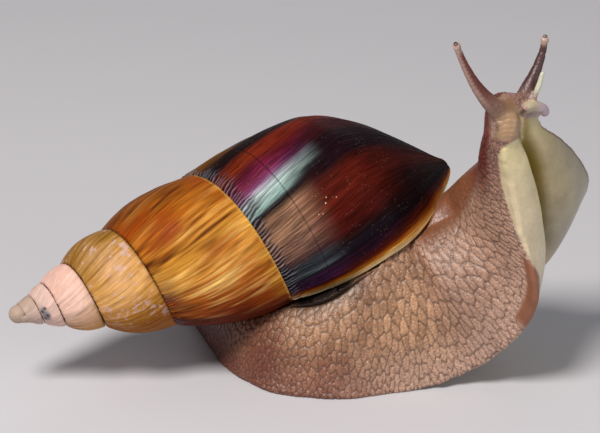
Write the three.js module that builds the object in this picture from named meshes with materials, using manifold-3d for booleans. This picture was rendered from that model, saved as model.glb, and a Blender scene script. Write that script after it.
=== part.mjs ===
// Giant African land snail, life size, crawling with the front of its foot and its head raised.
// Millimetres, +Z up, the floor at z = 0. The animal heads along +X, its right side faces -Y.
import * as THREE from 'three';
import Module from 'manifold-3d';
import { mergeVertices } from 'three/addons/utils/BufferGeometryUtils.js';

const wasm = await Module();
wasm.setup();

const GAP = 0.3;                      // clearance between neighbouring bodies
const DEG = Math.PI / 180;
const FACET_TOLERANCE = 0.08;         // facets flatter than this are merged
const ORIGIN = [0.28, 2.48];          // where the centre of the footprint lies before the last move

// Shell: a right-handed spiral about an axis that rises toward the head.
const APEX = [-75.7, -24.2, 22.1];    // where the spiral's axis starts
const AXIS_YAW = 21.35 * DEG;
const AXIS_PITCH = 11.13 * DEG;
const SIDE_TURN = 6;                  // the turn at which growth faces the animal's right
// Suture distance along the axis and radius at whole turns.
const SUTURE_HEIGHT = [3.3, 5.6, 8.9, 13.6, 22.3, 38.2, 67.8, 97.3, 112];
const SUTURE_RADIUS = [1.57, 2.6, 4.2, 6.4, 9.7, 15.2, 21.1, 25.9, 30];
const APEX_CENTRE = 4.1;              // a dome of this centre along the axis caps the first whorl
const APEX_RADIUS = 2.4;
const SPIRE_BULGE = 2.8;              // how square-shouldered the spire's whorls are
const BODY_BULGE = 1.8;               // the same for the last whorl
const BASE_POWER = 0.76;              // roundness of the last whorl below its widest part
const BASE_HEIGHT = [84, 101, 113, 120, 123.5, 125];   // lower end, every fifth of the last turn
const BASE_OFFSET = 5.2;              // the lower end stands off the axis at the lip
const LIP_TURN = 6.005;               // where growth has reached near the base
const LIP_LEAD = 0.06;                // how much further it has come toward the suture
const LIP_BACK = 0.018;               // the rim's width, in turns
const LIP_WALL = 1.2;
const COLUMELLA_TOP = 9;
const COLUMELLA_BOTTOM = 116;
const COLUMELLA_TAPER = 0.018;
const COLUMELLA_RADIUS = 0.35;
const SWELL_TURN = 0.008;             // turns of growth per millimetre round the last whorl
const BODY_START = LIP_TURN - 0.895;   // the last whorl takes over here
const NEEDLE = 0.05;                  // core radius left in the swollen copies used for cutting

// Flesh: stations along the groove in the middle of the sole, from tail to crown.
// x, y, z, heading and pitch in degrees, sole to the right and left, half width of body, height,
// steepness of the back's slope, sole lobes, forward curl of the right margin.
const STATIONS = [
  [-37, 42, 0, -58, 0, 2, 2, 1.8, 4, 0.5, 0, 0],
  [-22, 22, 0, -58, 0, 8, 11, 8, 11, 0.5, 0, 0],
  [-6, 0, 0, -48, 0, 17, 18, 15.5, 24, 0.7, 0, 0],
  [9, -6.5, 0, -20, 0, 20.5, 20, 18.5, 38, 1, 0, 0],
  [28, -3, 0, 0, 5, 19, 19, 18, 44, 0.9, 0, 0],
  [41.5, -2, 4, 3, 22, 18, 19, 17, 37, 0.6, 0, 0],
  [51, -5, 14, 0, 42, 17.8, 19, 16.5, 32, 0.5, 0.6, 2],
  [61.3, -10, 32, -20, 64, 18, 19, 13.5, 25, 0.5, 1, 6],
  [61, -18, 49, -36, 84, 12, 24, 11, 20, 0.5, 1, 2],
  [57.2, -24, 67, -42, 94, 9.5, 14, 8.5, 14.5, 0.5, 0.8, 0],
  [55, -27, 74.5, -42, 96, 6.8, 8, 7, 11, 0.5, 0.2, 0],
  [53.8, -27.2, 80.5, -42, 100, 6, 6, 6, 9.5, 0.5, 0, 0],
  [52, -26.2, 84, -42, 104, 3.4, 3.4, 3.4, 5, 0.5, 0, 0],
];
const SKIRT_FLARE = 3;                // how far up the sides the foot's margin spreads
const CURL_FADE = 7;                  // how far up the side the curl of the margin reaches
const SOLE_THICKNESS = 1.5;
const SOLE_BEVEL = 0.4;
const LOBE_BULGE = 2.6;               // how far each half of the raised sole swells
const GROOVE_DEPTH = 4;
const GROOVE_WIDTH = 2.2;
const SOLE_ENDS = [0.05, 9.7];
const CUT_STEP = 0.03;                // a parting between stations, about 0.4 mm
const HEAD_STEP = 0.05;               // the same where the stations lie closer
const MANTLE_IN = 3;                  // the mantle collar, measured from the plane of the opening
const MANTLE_OUT = 4;
const PROFILE_STEPS = 6;              // facets from suture to widest line
const BASE_STEPS = 7;                 // facets from the widest line to the base
const BODY_STEPS = 28;                // facets round the last whorl
const LIP_STEPS = 20;
const SOLE_STEPS = 26;
const SIDE_STEPS = 6;                 // facets up each side of the body
const EYE_RADIUS = 0.6;
const KNOB_RADIUS = 1.05;
const FEELER_RADII = [2.6, 1.9, 1.3, 0.95, 0.8];
const LOWER_RADII = [1.2, 0.8, 0.75, 0.6];
// Paths of the eye stalks, lower feelers and mouth lappets, each from inside the head outward.
const FEELERS = {
  right: {
    path: [[50, -28, 80], [46.5, -31, 84], [42.5, -34, 90], [39.6, -36, 96], [37.6, -37, 101]],
    eye: [37.3, -37.4, 101.8],
    lower: [[50, -29, 77], [48.2, -31.5, 78.5], [47.4, -33, 79.5]],
    lappet: [[52.5, -29, 80], [51.4, -31, 78.5], [50.6, -32, 75.5], [51, -31.5, 72.5]],
    lappetRadii: [2.4, 3.8, 4.2, 3],
  },
  left: {
    path: [[54, -23, 78.5], [56, -21, 83], [58.2, -19, 87.5], [59.8, -17.5, 91.8], [60.4, -17, 95.2]],
    eye: [60.5, -17, 96.1],
    lower: [[55, -25, 79], [57.5, -23.6, 82], [58.8, -23, 85.5], [59.6, -22.6, 88.5]],
    lappet: [[54.5, -26.5, 79], [56, -25, 81.2], [58.5, -23, 81.7], [61, -21, 79.5], [61.8, -20.2, 77.3]],
    lappetRadii: [1.4, 1.8, 2, 2, 1.5],
  },
};
const CUTS = { tail: 1.7, trunk: 4.2, front: 6.5, neck: 9.3 };   // stations where the parts meet

// ---- small helpers ----

function smooth(values, t) {
  const last = values.length - 1;
  const i = Math.min(Math.max(Math.floor(t), 0), last - 1);
  const f = t - i;
  const at = (k) => values[Math.min(Math.max(k, 0), last)];
  const before = i > 0 ? at(i - 1) : 2 * at(0) - at(1);
  const after = i + 2 <= last ? at(i + 2) : 2 * at(last) - at(last - 1);
  const slopeA = (at(i + 1) - before) / 2;
  const slopeB = (after - at(i)) / 2;
  const f2 = f * f;
  const f3 = f2 * f;
  return at(i) * (2 * f3 - 3 * f2 + 1) + slopeA * (f3 - 2 * f2 + f)
    + at(i + 1) * (3 * f2 - 2 * f3) + slopeB * (f3 - f2);
}

function growth(values, t) {
  return Math.exp(smooth(values.map(Math.log), t));
}

function steps(a, b, count) {
  return Array.from({ length: count + 1 }, (_, i) => a + (b - a) * i / count);
}

// A closed tube through rings of equal length, each end closed by a fan round its middle.
function loft(rings) {
  const count = rings[0].length;
  const points = rings.flat();
  const faces = [];
  for (let i = 0; i + 1 < rings.length; i += 1) {
    for (let j = 0; j < count; j += 1) {
      const a = i * count + j;
      const b = i * count + (j + 1) % count;
      faces.push(a, b, a + count, b, b + count, a + count);
    }
  }
  const close = (ring, offset, turned) => {
    const middle = ring.reduce((sum, p) => sum.add(p), new THREE.Vector3()).divideScalar(count);
    const centre = points.push(middle) - 1;
    for (let j = 0; j < count; j += 1) {
      const a = offset + j;
      const b = offset + (j + 1) % count;
      faces.push(centre, turned ? b : a, turned ? a : b);
    }
  };
  close(rings[0], 0, true);
  close(rings.at(-1), (rings.length - 1) * count, false);
  const geometry = new THREE.BufferGeometry();
  geometry.setAttribute('position', new THREE.Float32BufferAttribute(points.flatMap((p) => p.toArray()), 3));
  geometry.setIndex(faces);
  return outward(geometry);
}

function outward(geometry) {
  const p = geometry.attributes.position;
  const index = geometry.index.array;
  const [a, b, c] = [new THREE.Vector3(), new THREE.Vector3(), new THREE.Vector3()];
  let volume = 0;
  for (let i = 0; i < index.length; i += 3) {
    a.fromBufferAttribute(p, index[i]);
    b.fromBufferAttribute(p, index[i + 1]);
    c.fromBufferAttribute(p, index[i + 2]);
    volume += a.dot(b.cross(c));
  }
  if (volume < 0) {
    for (let i = 0; i < index.length; i += 3) {
      [index[i + 1], index[i + 2]] = [index[i + 2], index[i + 1]];
    }
  }
  return geometry;
}

function toSolid(geometry) {
  const bare = geometry.clone();
  bare.deleteAttribute('normal');
  bare.deleteAttribute('uv');
  const merged = mergeVertices(bare, 1e-4);
  const vertProperties = new Float32Array(merged.attributes.position.array);
  const triVerts = new Uint32Array(merged.index.array);
  return new wasm.Manifold(new wasm.Mesh({ numProp: 3, vertProperties, triVerts }));
}

function fromSolid(solid) {
  const mesh = solid.simplify(FACET_TOLERANCE).getMesh();
  const geometry = new THREE.BufferGeometry();
  geometry.setAttribute('position', new THREE.Float32BufferAttribute(mesh.vertProperties, 3));
  geometry.setIndex(Array.from(mesh.triVerts));
  return geometry;
}

// ---- shell ----

const axis = new THREE.Vector3(
  Math.cos(AXIS_PITCH) * Math.cos(AXIS_YAW),
  Math.cos(AXIS_PITCH) * Math.sin(AXIS_YAW),
  Math.sin(AXIS_PITCH),
);
const side = new THREE.Vector3(axis.y, -axis.x, 0).normalize();
const above = new THREE.Vector3().crossVectors(side, axis);

function shellPoint(turn, radius, height) {
  const angle = 2 * Math.PI * (SIDE_TURN - turn);
  return new THREE.Vector3(...APEX)
    .addScaledVector(axis, height)
    .addScaledVector(side, radius * Math.cos(angle))
    .addScaledVector(above, radius * Math.sin(angle));
}

// [radius, height] between a whorl's suture (x = 0) and its widest line (x = 1).
function whorlProfile(turn, x) {
  const grown = THREE.MathUtils.smoothstep(turn, SIDE_TURN - 1.3, SIDE_TURN - 0.3);
  const power = THREE.MathUtils.lerp(SPIRE_BULGE, BODY_BULGE, grown);
  const inner = growth(SUTURE_RADIUS, turn);
  const outer = growth(SUTURE_RADIUS, turn + 1);
  const top = growth(SUTURE_HEIGHT, turn);
  const bottom = growth(SUTURE_HEIGHT, turn + 1);
  return [outer - (outer - inner) * (1 - x) ** power, top + (bottom - top) * x];
}

// The same below the last whorl's widest line, down to its lower end (y = 1).
function baseProfile(turn, y) {
  const outer = growth(SUTURE_RADIUS, turn + 1);
  const top = growth(SUTURE_HEIGHT, turn + 1);
  const late = Math.max(turn - SIDE_TURN + 1, 0);
  const bottom = smooth(BASE_HEIGHT, late * (BASE_HEIGHT.length - 1));
  const end = BASE_OFFSET * THREE.MathUtils.smoothstep(late, 0.3, 1);
  return [end + (outer - end) * (1 - y * y) ** BASE_POWER, top + (bottom - top) * y];
}

function coreRadius(height) {
  return COLUMELLA_RADIUS + COLUMELLA_TAPER * height;
}

// Turn at which growth ends, from the suture (v = 0) over the widest line (1) to the base (2).
function lipTurn(v) {
  return LIP_TURN + LIP_LEAD * Math.max(1.6 - v, 0) ** 1.2;
}

// One stretch of whorl as a helical wedge between the suture above it and the one below.
function whorlSolid(from, to, perTurn, swell = 0) {
  const rings = steps(from, to, Math.ceil((to - from) * perTurn)).map((turn) => {
    const pitch = growth(SUTURE_HEIGHT, turn + 1) - growth(SUTURE_HEIGHT, turn);
    const margin = GAP / 2 / pitch;
    return steps(margin, 1 - margin, PROFILE_STEPS).map((x) => [turn, ...whorlProfile(turn, x)]);
  });
  return spiralSolid(rings, swell);
}

// Close rings of [turn, radius, height] in to the columella and loft them along the spiral.
function spiralSolid(rings, swell) {
  const push = swell - GAP / 2;
  const last = rings.length - 1;
  return loft(rings.map((ring, i) => {
    const forward = i === last ? push : 0;
    const reach = i === 0 ? -push : forward;
    return closeRing(ring, swell).map(([turn, r, z]) => {
      const along = shellPoint(turn + 0.25, 1, 0).sub(shellPoint(turn, 0, 0));
      return shellPoint(turn, r, z).addScaledVector(along, reach);
    });
  }));
}

function closeRing(ring, swell) {
  const [firstTurn, , firstHeight] = ring[0];
  const [lastTurn, , lastHeight] = ring.at(-1);
  const top = firstHeight - swell;
  const bottom = lastHeight + swell;
  const core = swell > 0 ? NEEDLE : coreRadius(bottom) + GAP;
  const kept = ring.map(([turn, r, z]) => [turn, Math.max(r + swell, core + GAP), z]);
  kept[0][2] = top;
  kept.at(-1)[2] = bottom;
  return [[firstTurn, core, top], ...kept, [lastTurn, core, bottom]];
}

// The whole profile of the last whorl: v runs 0 at the suture, 1 at the widest line, 2 at the base.
function lastProfile(turn, v) {
  return v <= 1 ? whorlProfile(turn, v) : baseProfile(turn, Math.sin((v - 1) * Math.PI / 2));
}

function bodyWhorl(swell = 0) {
  const samples = [...steps(0.005, 1, PROFILE_STEPS), ...steps(1 + 1 / BASE_STEPS, 2, BASE_STEPS - 1)];
  const end = LIP_TURN - LIP_BACK;
  return spiralSolid(steps(BODY_START, end, BODY_STEPS).map((turn) => samples.map((v) => {
    const late = THREE.MathUtils.smoothstep(turn, end - 0.4, end);
    const led = turn + late * (lipTurn(v) - LIP_TURN);
    return [led, ...lastProfile(led, v)];
  })), swell);
}

function lipSurface(turn, v) {
  return shellPoint(turn, ...lastProfile(turn, v));
}

// The thin free edge that stands beyond the last whorl all round the opening.
function lipSolid(swell = 0) {
  const rings = steps(0.05 - swell * 0.03, 1.97 + swell * 0.02, LIP_STEPS).map((v) => {
    const end = lipTurn(v) + swell * SWELL_TURN;
    const start = lipTurn(v) - LIP_BACK + (GAP - swell) * SWELL_TURN;
    const here = lipSurface(end, v);
    const alongV = lipSurface(end, v + 0.01).sub(lipSurface(end, v - 0.01));
    const alongTurn = here.clone().sub(lipSurface(end - 0.01, v));
    const inward = alongV.cross(alongTurn).normalize();
    const depth = LIP_WALL + 2 * swell;
    const place = (turn, inset) => lipSurface(turn, v).addScaledVector(inward, inset * depth - swell);
    const edge = end + 0.25 * SWELL_TURN;
    return [place(start, 0), place(end, 0), place(edge, 0.5), place(end, 1), place(start, 1)];
  });
  return loft(rings);
}

// ---- flesh ----

function station(s) {
  const v = STATIONS[0].map((_, k) => smooth(STATIONS.map((row) => row[k]), s));
  const [x, y, z, heading, pitch, right, left, body, height, slope] = v;
  const [lobes, curl] = v.slice(-2).map((value) => Math.max(value, 0));
  const at = new THREE.Vector3(x, y, Math.max(z, 0));
  return { at, heading: heading * DEG, pitch: pitch * DEG, right, left, body, height, slope, lobes, curl };
}

// A cross-section's directions: across, level and to the animal's right, and up toward its back.
function stationFrame(s) {
  const f = station(s);
  const [sin, cos] = [Math.sin(f.heading), Math.cos(f.heading)];
  const across = new THREE.Vector3(sin, -cos, 0);
  const up = new THREE.Vector3(-Math.sin(f.pitch) * cos, -Math.sin(f.pitch) * sin, Math.cos(f.pitch));
  return { ...f, across, up };
}

// Height of the sole's underside at x, flat on the floor and two-lobed where the foot is raised.
function soleLine(f, x) {
  const reach = x > 0 ? f.right : f.left;
  const t = Math.min(Math.abs(x) / reach, 1);
  const groove = GROOVE_DEPTH * Math.exp(-((t * reach / GROOVE_WIDTH) ** 2));
  const swelling = LOBE_BULGE * Math.sin(Math.PI * t ** 0.8);
  return f.lobes * (groove - swelling) - (x > 0 ? f.curl * t * t : 0);
}

function bodyOutline(f, swell) {
  const floor = SOLE_THICKNESS / 2;
  const sideOf = (reach, hand) => steps(0.04, Math.PI / 2, SIDE_STEPS).map((a) => {
    const rise = Math.sin(a);
    const x = (f.body + swell) * Math.max(1 - rise * rise, 0) ** f.slope;
    const y = floor + (f.height + swell - floor) * rise;
    const spread = Math.exp(-y / SKIRT_FLARE);
    const curl = hand > 0 ? f.curl * Math.exp(-y / CURL_FADE) : 0;
    return [x + (reach - f.body) * spread, y - curl];
  });
  const right = sideOf(f.right, 1);
  const left = sideOf(f.left, -1).slice(0, -1).reverse().map(([x, y]) => [-x, y]);
  const edgeR = right[0][0];
  const edgeL = left.at(-1)[0];
  const across = steps(edgeL * 0.98, edgeR * 0.98, 2 * SIDE_STEPS - 4);
  const under = across.map((x) => [x, soleLine(f, x) + floor - swell]);
  return [...right, ...left, ...under];
}

function fleshSolid(from, to, count, swell = 0) {
  const list = steps(from, to, count);
  return loft(list.map((s) => {
    const f = stationFrame(s);
    return bodyOutline(f, swell).map(([x, y]) => placeIn(f, x, y));
  }));
}

function placeIn(f, x, y) {
  return f.at.clone().addScaledVector(f.across, x).addScaledVector(f.up, y);
}

// One half of the sole as a pad of even thickness; hand is 1 on the right, -1 on the left.
function solePad(hand, swell = 0) {
  return loft(steps(SOLE_ENDS[0], SOLE_ENDS[1], SOLE_STEPS).map((s) => {
    const f = stationFrame(s);
    const reach = hand > 0 ? f.right : f.left;
    const under = steps(GAP / 2, reach, 5).map((x) => [x * hand, soleLine(f, x * hand) - swell]);
    if (swell > 0) {
      under.unshift([under[0][0] - hand * swell, under[0][1]]);
      under.push([under.at(-1)[0] + hand * swell, under.at(-1)[1]]);
    }
    const over = under.map(([x, y]) => [x, y + SOLE_THICKNESS + 2 * swell]).reverse();
    over[0] = [over[0][0] - hand * SOLE_BEVEL, over[0][1]];
    return [...under, ...over].map(([x, y]) => placeIn(f, x, y));
  }));
}

// A tapering rod of round section through the given points, radius given at each.
function rod(points, radii, sides = 7, per = 2) {
  const curve = new THREE.CatmullRomCurve3(points.map((p) => new THREE.Vector3(...p)));
  const count = (points.length - 1) * per;
  const frames = curve.computeFrenetFrames(count, false);
  return loft(steps(0, 1, count).map((t, i) => {
    const radius = smooth(radii, t * (radii.length - 1));
    const centre = curve.getPoint(t);
    return steps(0, 1, sides).slice(0, sides).map((u) => centre.clone()
      .addScaledVector(frames.normals[i], radius * Math.cos(2 * Math.PI * u))
      .addScaledVector(frames.binormals[i], radius * Math.sin(2 * Math.PI * u)));
  }));
}

function ball(centre, radius) {
  return new THREE.SphereGeometry(radius, 10, 5).translate(...centre);
}

// The opening's outline drawn out along its own normal, for parting the mantle from the neck.
function openingBlock(spread) {
  const edge = steps(0.1, 2, 20).map((v) => lipSurface(lipTurn(v), v));
  const core = [116, 60].map((z) => shellPoint(LIP_TURN, -3, z));
  const outline = [...edge, ...core];
  const middle = outline.reduce((sum, p) => sum.add(p), new THREE.Vector3()).divideScalar(outline.length);
  return loft([MANTLE_IN + spread, -MANTLE_OUT - spread].map((depth) => outline.map((p) => {
    const away = p.clone().sub(middle).normalize();
    return p.clone().addScaledVector(away, spread).addScaledVector(above, depth);
  })));
}

// ---- assembly ----

const group = new THREE.Group();

function addPart(name, solid, material) {
  const mesh = new THREE.Mesh(fromSolid(largest(solid)), material);
  mesh.name = name;
  group.add(mesh);
}

function largest(solid) {
  return solid.decompose().sort((a, b) => b.volume() - a.volume())[0];
}

function cutAll(solid, cutters) {
  return cutters.reduce((left, cutter) => left.subtract(cutter), solid);
}

function finish(color, roughness) {
  return () => new THREE.MeshStandardMaterial({ color, roughness, metalness: 0 });
}

const creamShell = finish(0xd9bfa6, 0.35);
const ochreShell = finish(0xa9762f, 0.3);
const darkShell = finish(0x4a1f17, 0.25);
const lipShell = finish(0xc99a4a, 0.35);
const skin = finish(0x9a7359, 0.55);
const darkSkin = finish(0x6e3f2c, 0.55);
const soleSkin = finish(0xcdbd8c, 0.45);
const lappetSkin = finish(0xcfc3c4, 0.45);
const mantleSkin = finish(0x8a5a38, 0.5);
const eyeBlack = finish(0x141010, 0.15);

function addShell() {
  const columella = rod(
    steps(COLUMELLA_TOP, COLUMELLA_BOTTOM, 8).map((z) => shellPoint(0, 0, z).toArray()),
    steps(COLUMELLA_TOP, COLUMELLA_BOTTOM, 8).map(coreRadius),
    12,
    1,
  );
  const dome = toSolid(ball(shellPoint(0, 0, APEX_CENTRE).toArray(), APEX_RADIUS));
  const tip = toSolid(whorlSolid(0, 1, 10)).add(dome);
  addPart('shell_apex', cutAll(tip, [toSolid(whorlSolid(1, 2, 18, GAP))]), creamShell());
  addPart('shell_whorl_3', toSolid(whorlSolid(1, 2, 18)), creamShell());
  addPart('shell_whorl_4', toSolid(whorlSolid(2, 3, 20)), creamShell());
  addPart('shell_whorl_5', toSolid(whorlSolid(3, 4, 22)), ochreShell());
  addPart('shell_penultimate_whorl', toSolid(whorlSolid(4, BODY_START, 24)), ochreShell());
  addPart('shell_body_whorl', toSolid(bodyWhorl()), darkShell());
  const besideLip = [whorlSolid(4, BODY_START, 24, GAP), bodyWhorl(GAP)].map(toSolid);
  addPart('shell_lip', cutAll(toSolid(lipSolid()), besideLip), lipShell());
  addPart('shell_columella', toSolid(columella), creamShell());
}

function addFlesh() {
  const top = STATIONS.length - 1;
  const shellCut = [bodyWhorl(GAP), whorlSolid(3, BODY_START, 24, GAP), lipSolid(GAP)].map(toSolid);
  const soleCut = [1, -1].map((hand) => toSolid(solePad(hand, GAP)));
  const flesh = (from, to, count) => cutAll(toSolid(fleshSolid(from, to, count)), [...shellCut, ...soleCut]);
  const mantleCut = toSolid(openingBlock(GAP));
  const clear = CUT_STEP;
  addPart('mantle_collar', flesh(CUTS.tail, CUTS.neck, 26).intersect(toSolid(openingBlock(0))), mantleSkin());
  addPart('tail', flesh(0, CUTS.tail, 10), skin());
  addPart('trunk', flesh(CUTS.tail + clear, CUTS.trunk, 10).subtract(mantleCut), skin());
  addPart('foot_front', flesh(CUTS.trunk + clear, CUTS.front, 11).subtract(mantleCut), skin());
  addPart('neck', flesh(CUTS.front + clear, CUTS.neck, 12).subtract(mantleCut), skin());
  addPart('sole_right', toSolid(solePad(1)), soleSkin());
  addPart('sole_left', toSolid(solePad(-1)), soleSkin());
  addHead(CUTS.neck + HEAD_STEP, top, soleCut);
}

function swollen(radii) {
  return radii.map((radius) => radius + GAP);
}

function addHead(from, to, soleCut) {
  const head = cutAll(toSolid(fleshSolid(from, to, 9)), soleCut);
  const around = [
    toSolid(fleshSolid(from - HEAD_STEP, to, 12, GAP)),
    toSolid(fleshSolid(CUTS.front, CUTS.neck + HEAD_STEP, 12, GAP)),
    ...soleCut,
  ];
  addPart('head', head, skin());
  for (const [hand, feeler] of Object.entries(FEELERS)) {
    addFeelers(hand, feeler, around);
  }
}

function addFeelers(hand, feeler, around) {
  const knob = (radius) => toSolid(ball(feeler.path.at(-1), radius));
  const eye = (radius) => toSolid(ball(feeler.eye, radius));
  const stalk = toSolid(rod(feeler.path, FEELER_RADII)).add(knob(KNOB_RADIUS));
  const stalkCut = toSolid(rod(feeler.path, swollen(FEELER_RADII)));
  const lower = toSolid(rod(feeler.lower, LOWER_RADII));
  const lowerCut = toSolid(rod(feeler.lower, swollen(LOWER_RADII)));
  const lappet = toSolid(rod(feeler.lappet, feeler.lappetRadii, 9));
  addPart(`tentacle_upper_${hand}`, cutAll(stalk, [...around, eye(EYE_RADIUS + GAP)]), darkSkin());
  addPart(`eye_${hand}`, eye(EYE_RADIUS), eyeBlack());
  addPart(`tentacle_lower_${hand}`, cutAll(lower, [...around, stalkCut]), lappetSkin());
  addPart(`oral_lappet_${hand}`, cutAll(lappet, [...around, stalkCut, lowerCut]), lappetSkin());
}

addShell();
addFlesh();
group.position.set(-ORIGIN[0], -ORIGIN[1], 0);
group.updateMatrixWorld(true);

export default group;
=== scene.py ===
"""Giant African land snail, life size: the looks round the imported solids.

The shell and the flesh follow the curves of the solids, in millimetres, and are moved to
metres in the frame at the end. The tip and the base of the shell and the flesh behind its
lip depart from them, as in the photo. The flesh is one skin; the eyes stay separate.
"""
import itertools
import math

import bmesh
import bpy
import numpy as np
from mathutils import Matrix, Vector, kdtree


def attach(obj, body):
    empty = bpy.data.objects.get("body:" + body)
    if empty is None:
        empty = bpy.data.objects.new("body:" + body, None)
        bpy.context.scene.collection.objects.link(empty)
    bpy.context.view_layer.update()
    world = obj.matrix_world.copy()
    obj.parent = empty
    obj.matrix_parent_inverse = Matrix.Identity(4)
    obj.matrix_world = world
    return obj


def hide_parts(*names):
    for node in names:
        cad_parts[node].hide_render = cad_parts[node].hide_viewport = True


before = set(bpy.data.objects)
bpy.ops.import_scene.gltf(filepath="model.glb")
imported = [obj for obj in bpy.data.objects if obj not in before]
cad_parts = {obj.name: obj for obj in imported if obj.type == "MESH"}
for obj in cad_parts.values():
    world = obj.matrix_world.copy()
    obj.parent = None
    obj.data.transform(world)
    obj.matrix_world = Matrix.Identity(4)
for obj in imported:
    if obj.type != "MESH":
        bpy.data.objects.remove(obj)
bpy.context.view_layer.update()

MM = 0.001
FOOTPRINT = np.array([0.28, 2.48, 0])  # where the frame's origin lies in the curves' millimetres

# ---- sizes in millimetres and degrees: the solids' own, but for those that say otherwise ----

APEX = np.array([-75.7, -24.2, 22.1])
AXIS_YAW = math.radians(21.35)
AXIS_PITCH = math.radians(11.13)
SIDE_TURN = 6
SUTURE_HEIGHT = [3.3, 5.6, 8.9, 13.6, 22.3, 38.2, 67.8, 97.3, 112]
SUTURE_RADIUS = [1.57, 2.6, 4.2, 6.4, 9.7, 15.2, 21.1, 25.9, 30]
SPIRE_BULGE = 2.8
BODY_BULGE = 1.8
TIP_CENTRE = 4.1  # the round tip and the cone that the first whorls widen to, which only the looks have
TIP_RADIUS = 2.4
TIP_SPREAD = 0.375
TIP_FLATTENING = 1.1  # the oldest whorls are flatter than their solids
BASE_POWER = 0.76
BASE_HEIGHT = [84, 101, 113, 120, 123.5, 125]
BASE_SLIMMING = 0.35  # the visible base is slimmer than its solid, as in the photo,
BASE_OFFSET = 3.4  # and ends nearer the axis than the solid's 5.2
LIP_TURN = 6.005
LIP_LEAD = 0.06
LIP_WALL = 1.2
BODY_START = LIP_TURN - 0.895
CORE_RADIUS = 0.35
CORE_TAPER = 0.018

# x, y, z, heading, pitch, sole right, sole left, half width, height, slope, lobes, curl
STATIONS = np.array([
    [-37, 42, 0, -58, 0, 2, 2, 1.8, 4, 0.5, 0, 0],
    [-22, 22, 0, -58, 0, 8, 11, 8, 11, 0.5, 0, 0],
    [-6, 0, 0, -48, 0, 17, 18, 15.5, 24, 0.7, 0, 0],
    [9, -6.5, 0, -20, 0, 20.5, 20, 18.5, 38, 1, 0, 0],
    [28, -3, 0, 0, 5, 19, 19, 18, 44, 0.9, 0, 0],
    [41.5, -2, 4, 3, 22, 18, 19, 17, 37, 0.6, 0, 0],
    [51, -5, 14, 0, 42, 17.8, 19, 16.5, 32, 0.5, 0.6, 2],
    [61.3, -10, 32, -20, 64, 18, 19, 13.5, 25, 0.5, 1, 6],
    [61, -18, 49, -36, 84, 12, 24, 11, 20, 0.5, 1, 2],
    [57.2, -24, 67, -42, 94, 9.5, 14, 8.5, 14.5, 0.5, 0.8, 0],
    [55, -27, 74.5, -42, 96, 6.8, 8, 7, 11, 0.5, 0.2, 0],
    [53.8, -27.2, 80.5, -42, 100, 6, 6, 6, 9.5, 0.5, 0, 0],
    [52, -26.2, 84, -42, 104, 3.4, 3.4, 3.4, 5, 0.5, 0, 0],
], float)
SKIRT_FLARE = 3
CURL_FADE = 7
MARGIN_HEIGHT = 0.9
LOBE_BULGE = 2.6
GROOVE_DEPTH = 4
GROOVE_WIDTH = 2.2
EYE_RADIUS = 0.6
KNOB_RADIUS = 1.05
FEELER_RADII = [2.8, 2.1, 1.4, 1.0, 0.82]
LOWER_RADII = [1.2, 0.8, 0.75, 0.6]
FEELERS = {
    "right": {
        "path": [[50, -28, 80], [46.5, -31, 84], [42.5, -34, 90], [39.6, -36, 96], [37.6, -37, 101]],
        "eye": [37.3, -37.4, 101.8],
        "lower": [[50, -29, 77], [48.2, -31.5, 78.5], [47.4, -33, 79.5]],
        "lappet": [[52.5, -28, 80], [51.4, -29.2, 78.5], [50.8, -29.6, 75.5], [51.2, -29, 72.5]],
        "lappet_radii": [1.8, 2.9, 3.1, 2.2],
    },
    "left": {
        "path": [[54, -23, 78.5], [56, -21, 83], [58.2, -19, 87.5], [59.8, -17.5, 91.8], [60.4, -17, 95.2]],
        "eye": [60.5, -17, 96.1],
        "lower": [[55, -25, 79], [57.5, -23.6, 82], [58.8, -23, 85.5], [59.6, -22.6, 88.5]],
        "lappet": [[54.7, -26.5, 80.4], [56.4, -25.2, 80.9], [58.5, -23.4, 80.3], [60.3, -21.6, 78.7],
                   [61, -20.8, 77]],
        "lappet_radii": [0.9, 1.2, 1.25, 1.35, 1.15],
    },
}

# The flesh behind the lip, where the mantle joins the back of the neck. Only the looks have it.
MANTLE_PATH = [[30, -2, 34], [34, -1, 37.5], [38.6, 0.5, 40.4], [42.8, 0.5, 43.4], [46.3, -3, 48.6],
               [49.7, -7.5, 54.6], [50, -11.5, 60.9]]
MANTLE_RADII = [4, 4.4, 5.2, 5.8, 6, 5.8, 4.4]
LIP_CONTACT = np.array([37, -2, 42])  # where the lip lies on it

# ---- curves, noise and colours ----


def smooth(values, t):
    """A curve through values at whole t, as the solids have it."""
    values = np.asarray(values, float)
    t = np.asarray(t, float)
    last = len(values) - 1
    i = np.clip(np.floor(t).astype(int), 0, last - 1)
    f = t - i
    here = values[i]
    after = values[i + 1]
    before = np.where(i > 0, values[np.maximum(i - 1, 0)], 2 * values[0] - values[1])
    beyond = np.where(i + 2 <= last, values[np.minimum(i + 2, last)], 2 * values[last] - values[last - 1])
    slope_a = (after - before) / 2
    slope_b = (beyond - here) / 2
    f2 = f * f
    f3 = f2 * f
    return (here * (2 * f3 - 3 * f2 + 1) + slope_a * (f3 - 2 * f2 + f)
            + after * (3 * f2 - 2 * f3) + slope_b * (f3 - f2))


def growth(values, t):
    return np.exp(smooth(np.log(values), t))


def smoothstep(x, low, high):
    """Rises from 0 at low to 1 at high."""
    x = np.clip((x - low) / (high - low), 0, 1)
    return x * x * (3 - 2 * x)


def fade(x, low, high):
    """Falls from 1 at low to 0 at high."""
    return 1 - smoothstep(x, low, high)


def bump(x, centre, width):
    return np.exp(-((x - centre) / width) ** 2)


def spot_at(points, place, width, stretch=1):
    """A bump round one place."""
    return bump(np.linalg.norm((points - place) * stretch, axis=-1), 0, width)


def mix(a, b, t):
    """From colour a to colour b by the share t. A colour is a code or linear red, green and blue."""
    a, b = (linear(colour) if isinstance(colour, int) else colour for colour in (a, b))
    t = np.asarray(t)[..., None]
    return a * (1 - t) + b * t


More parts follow.
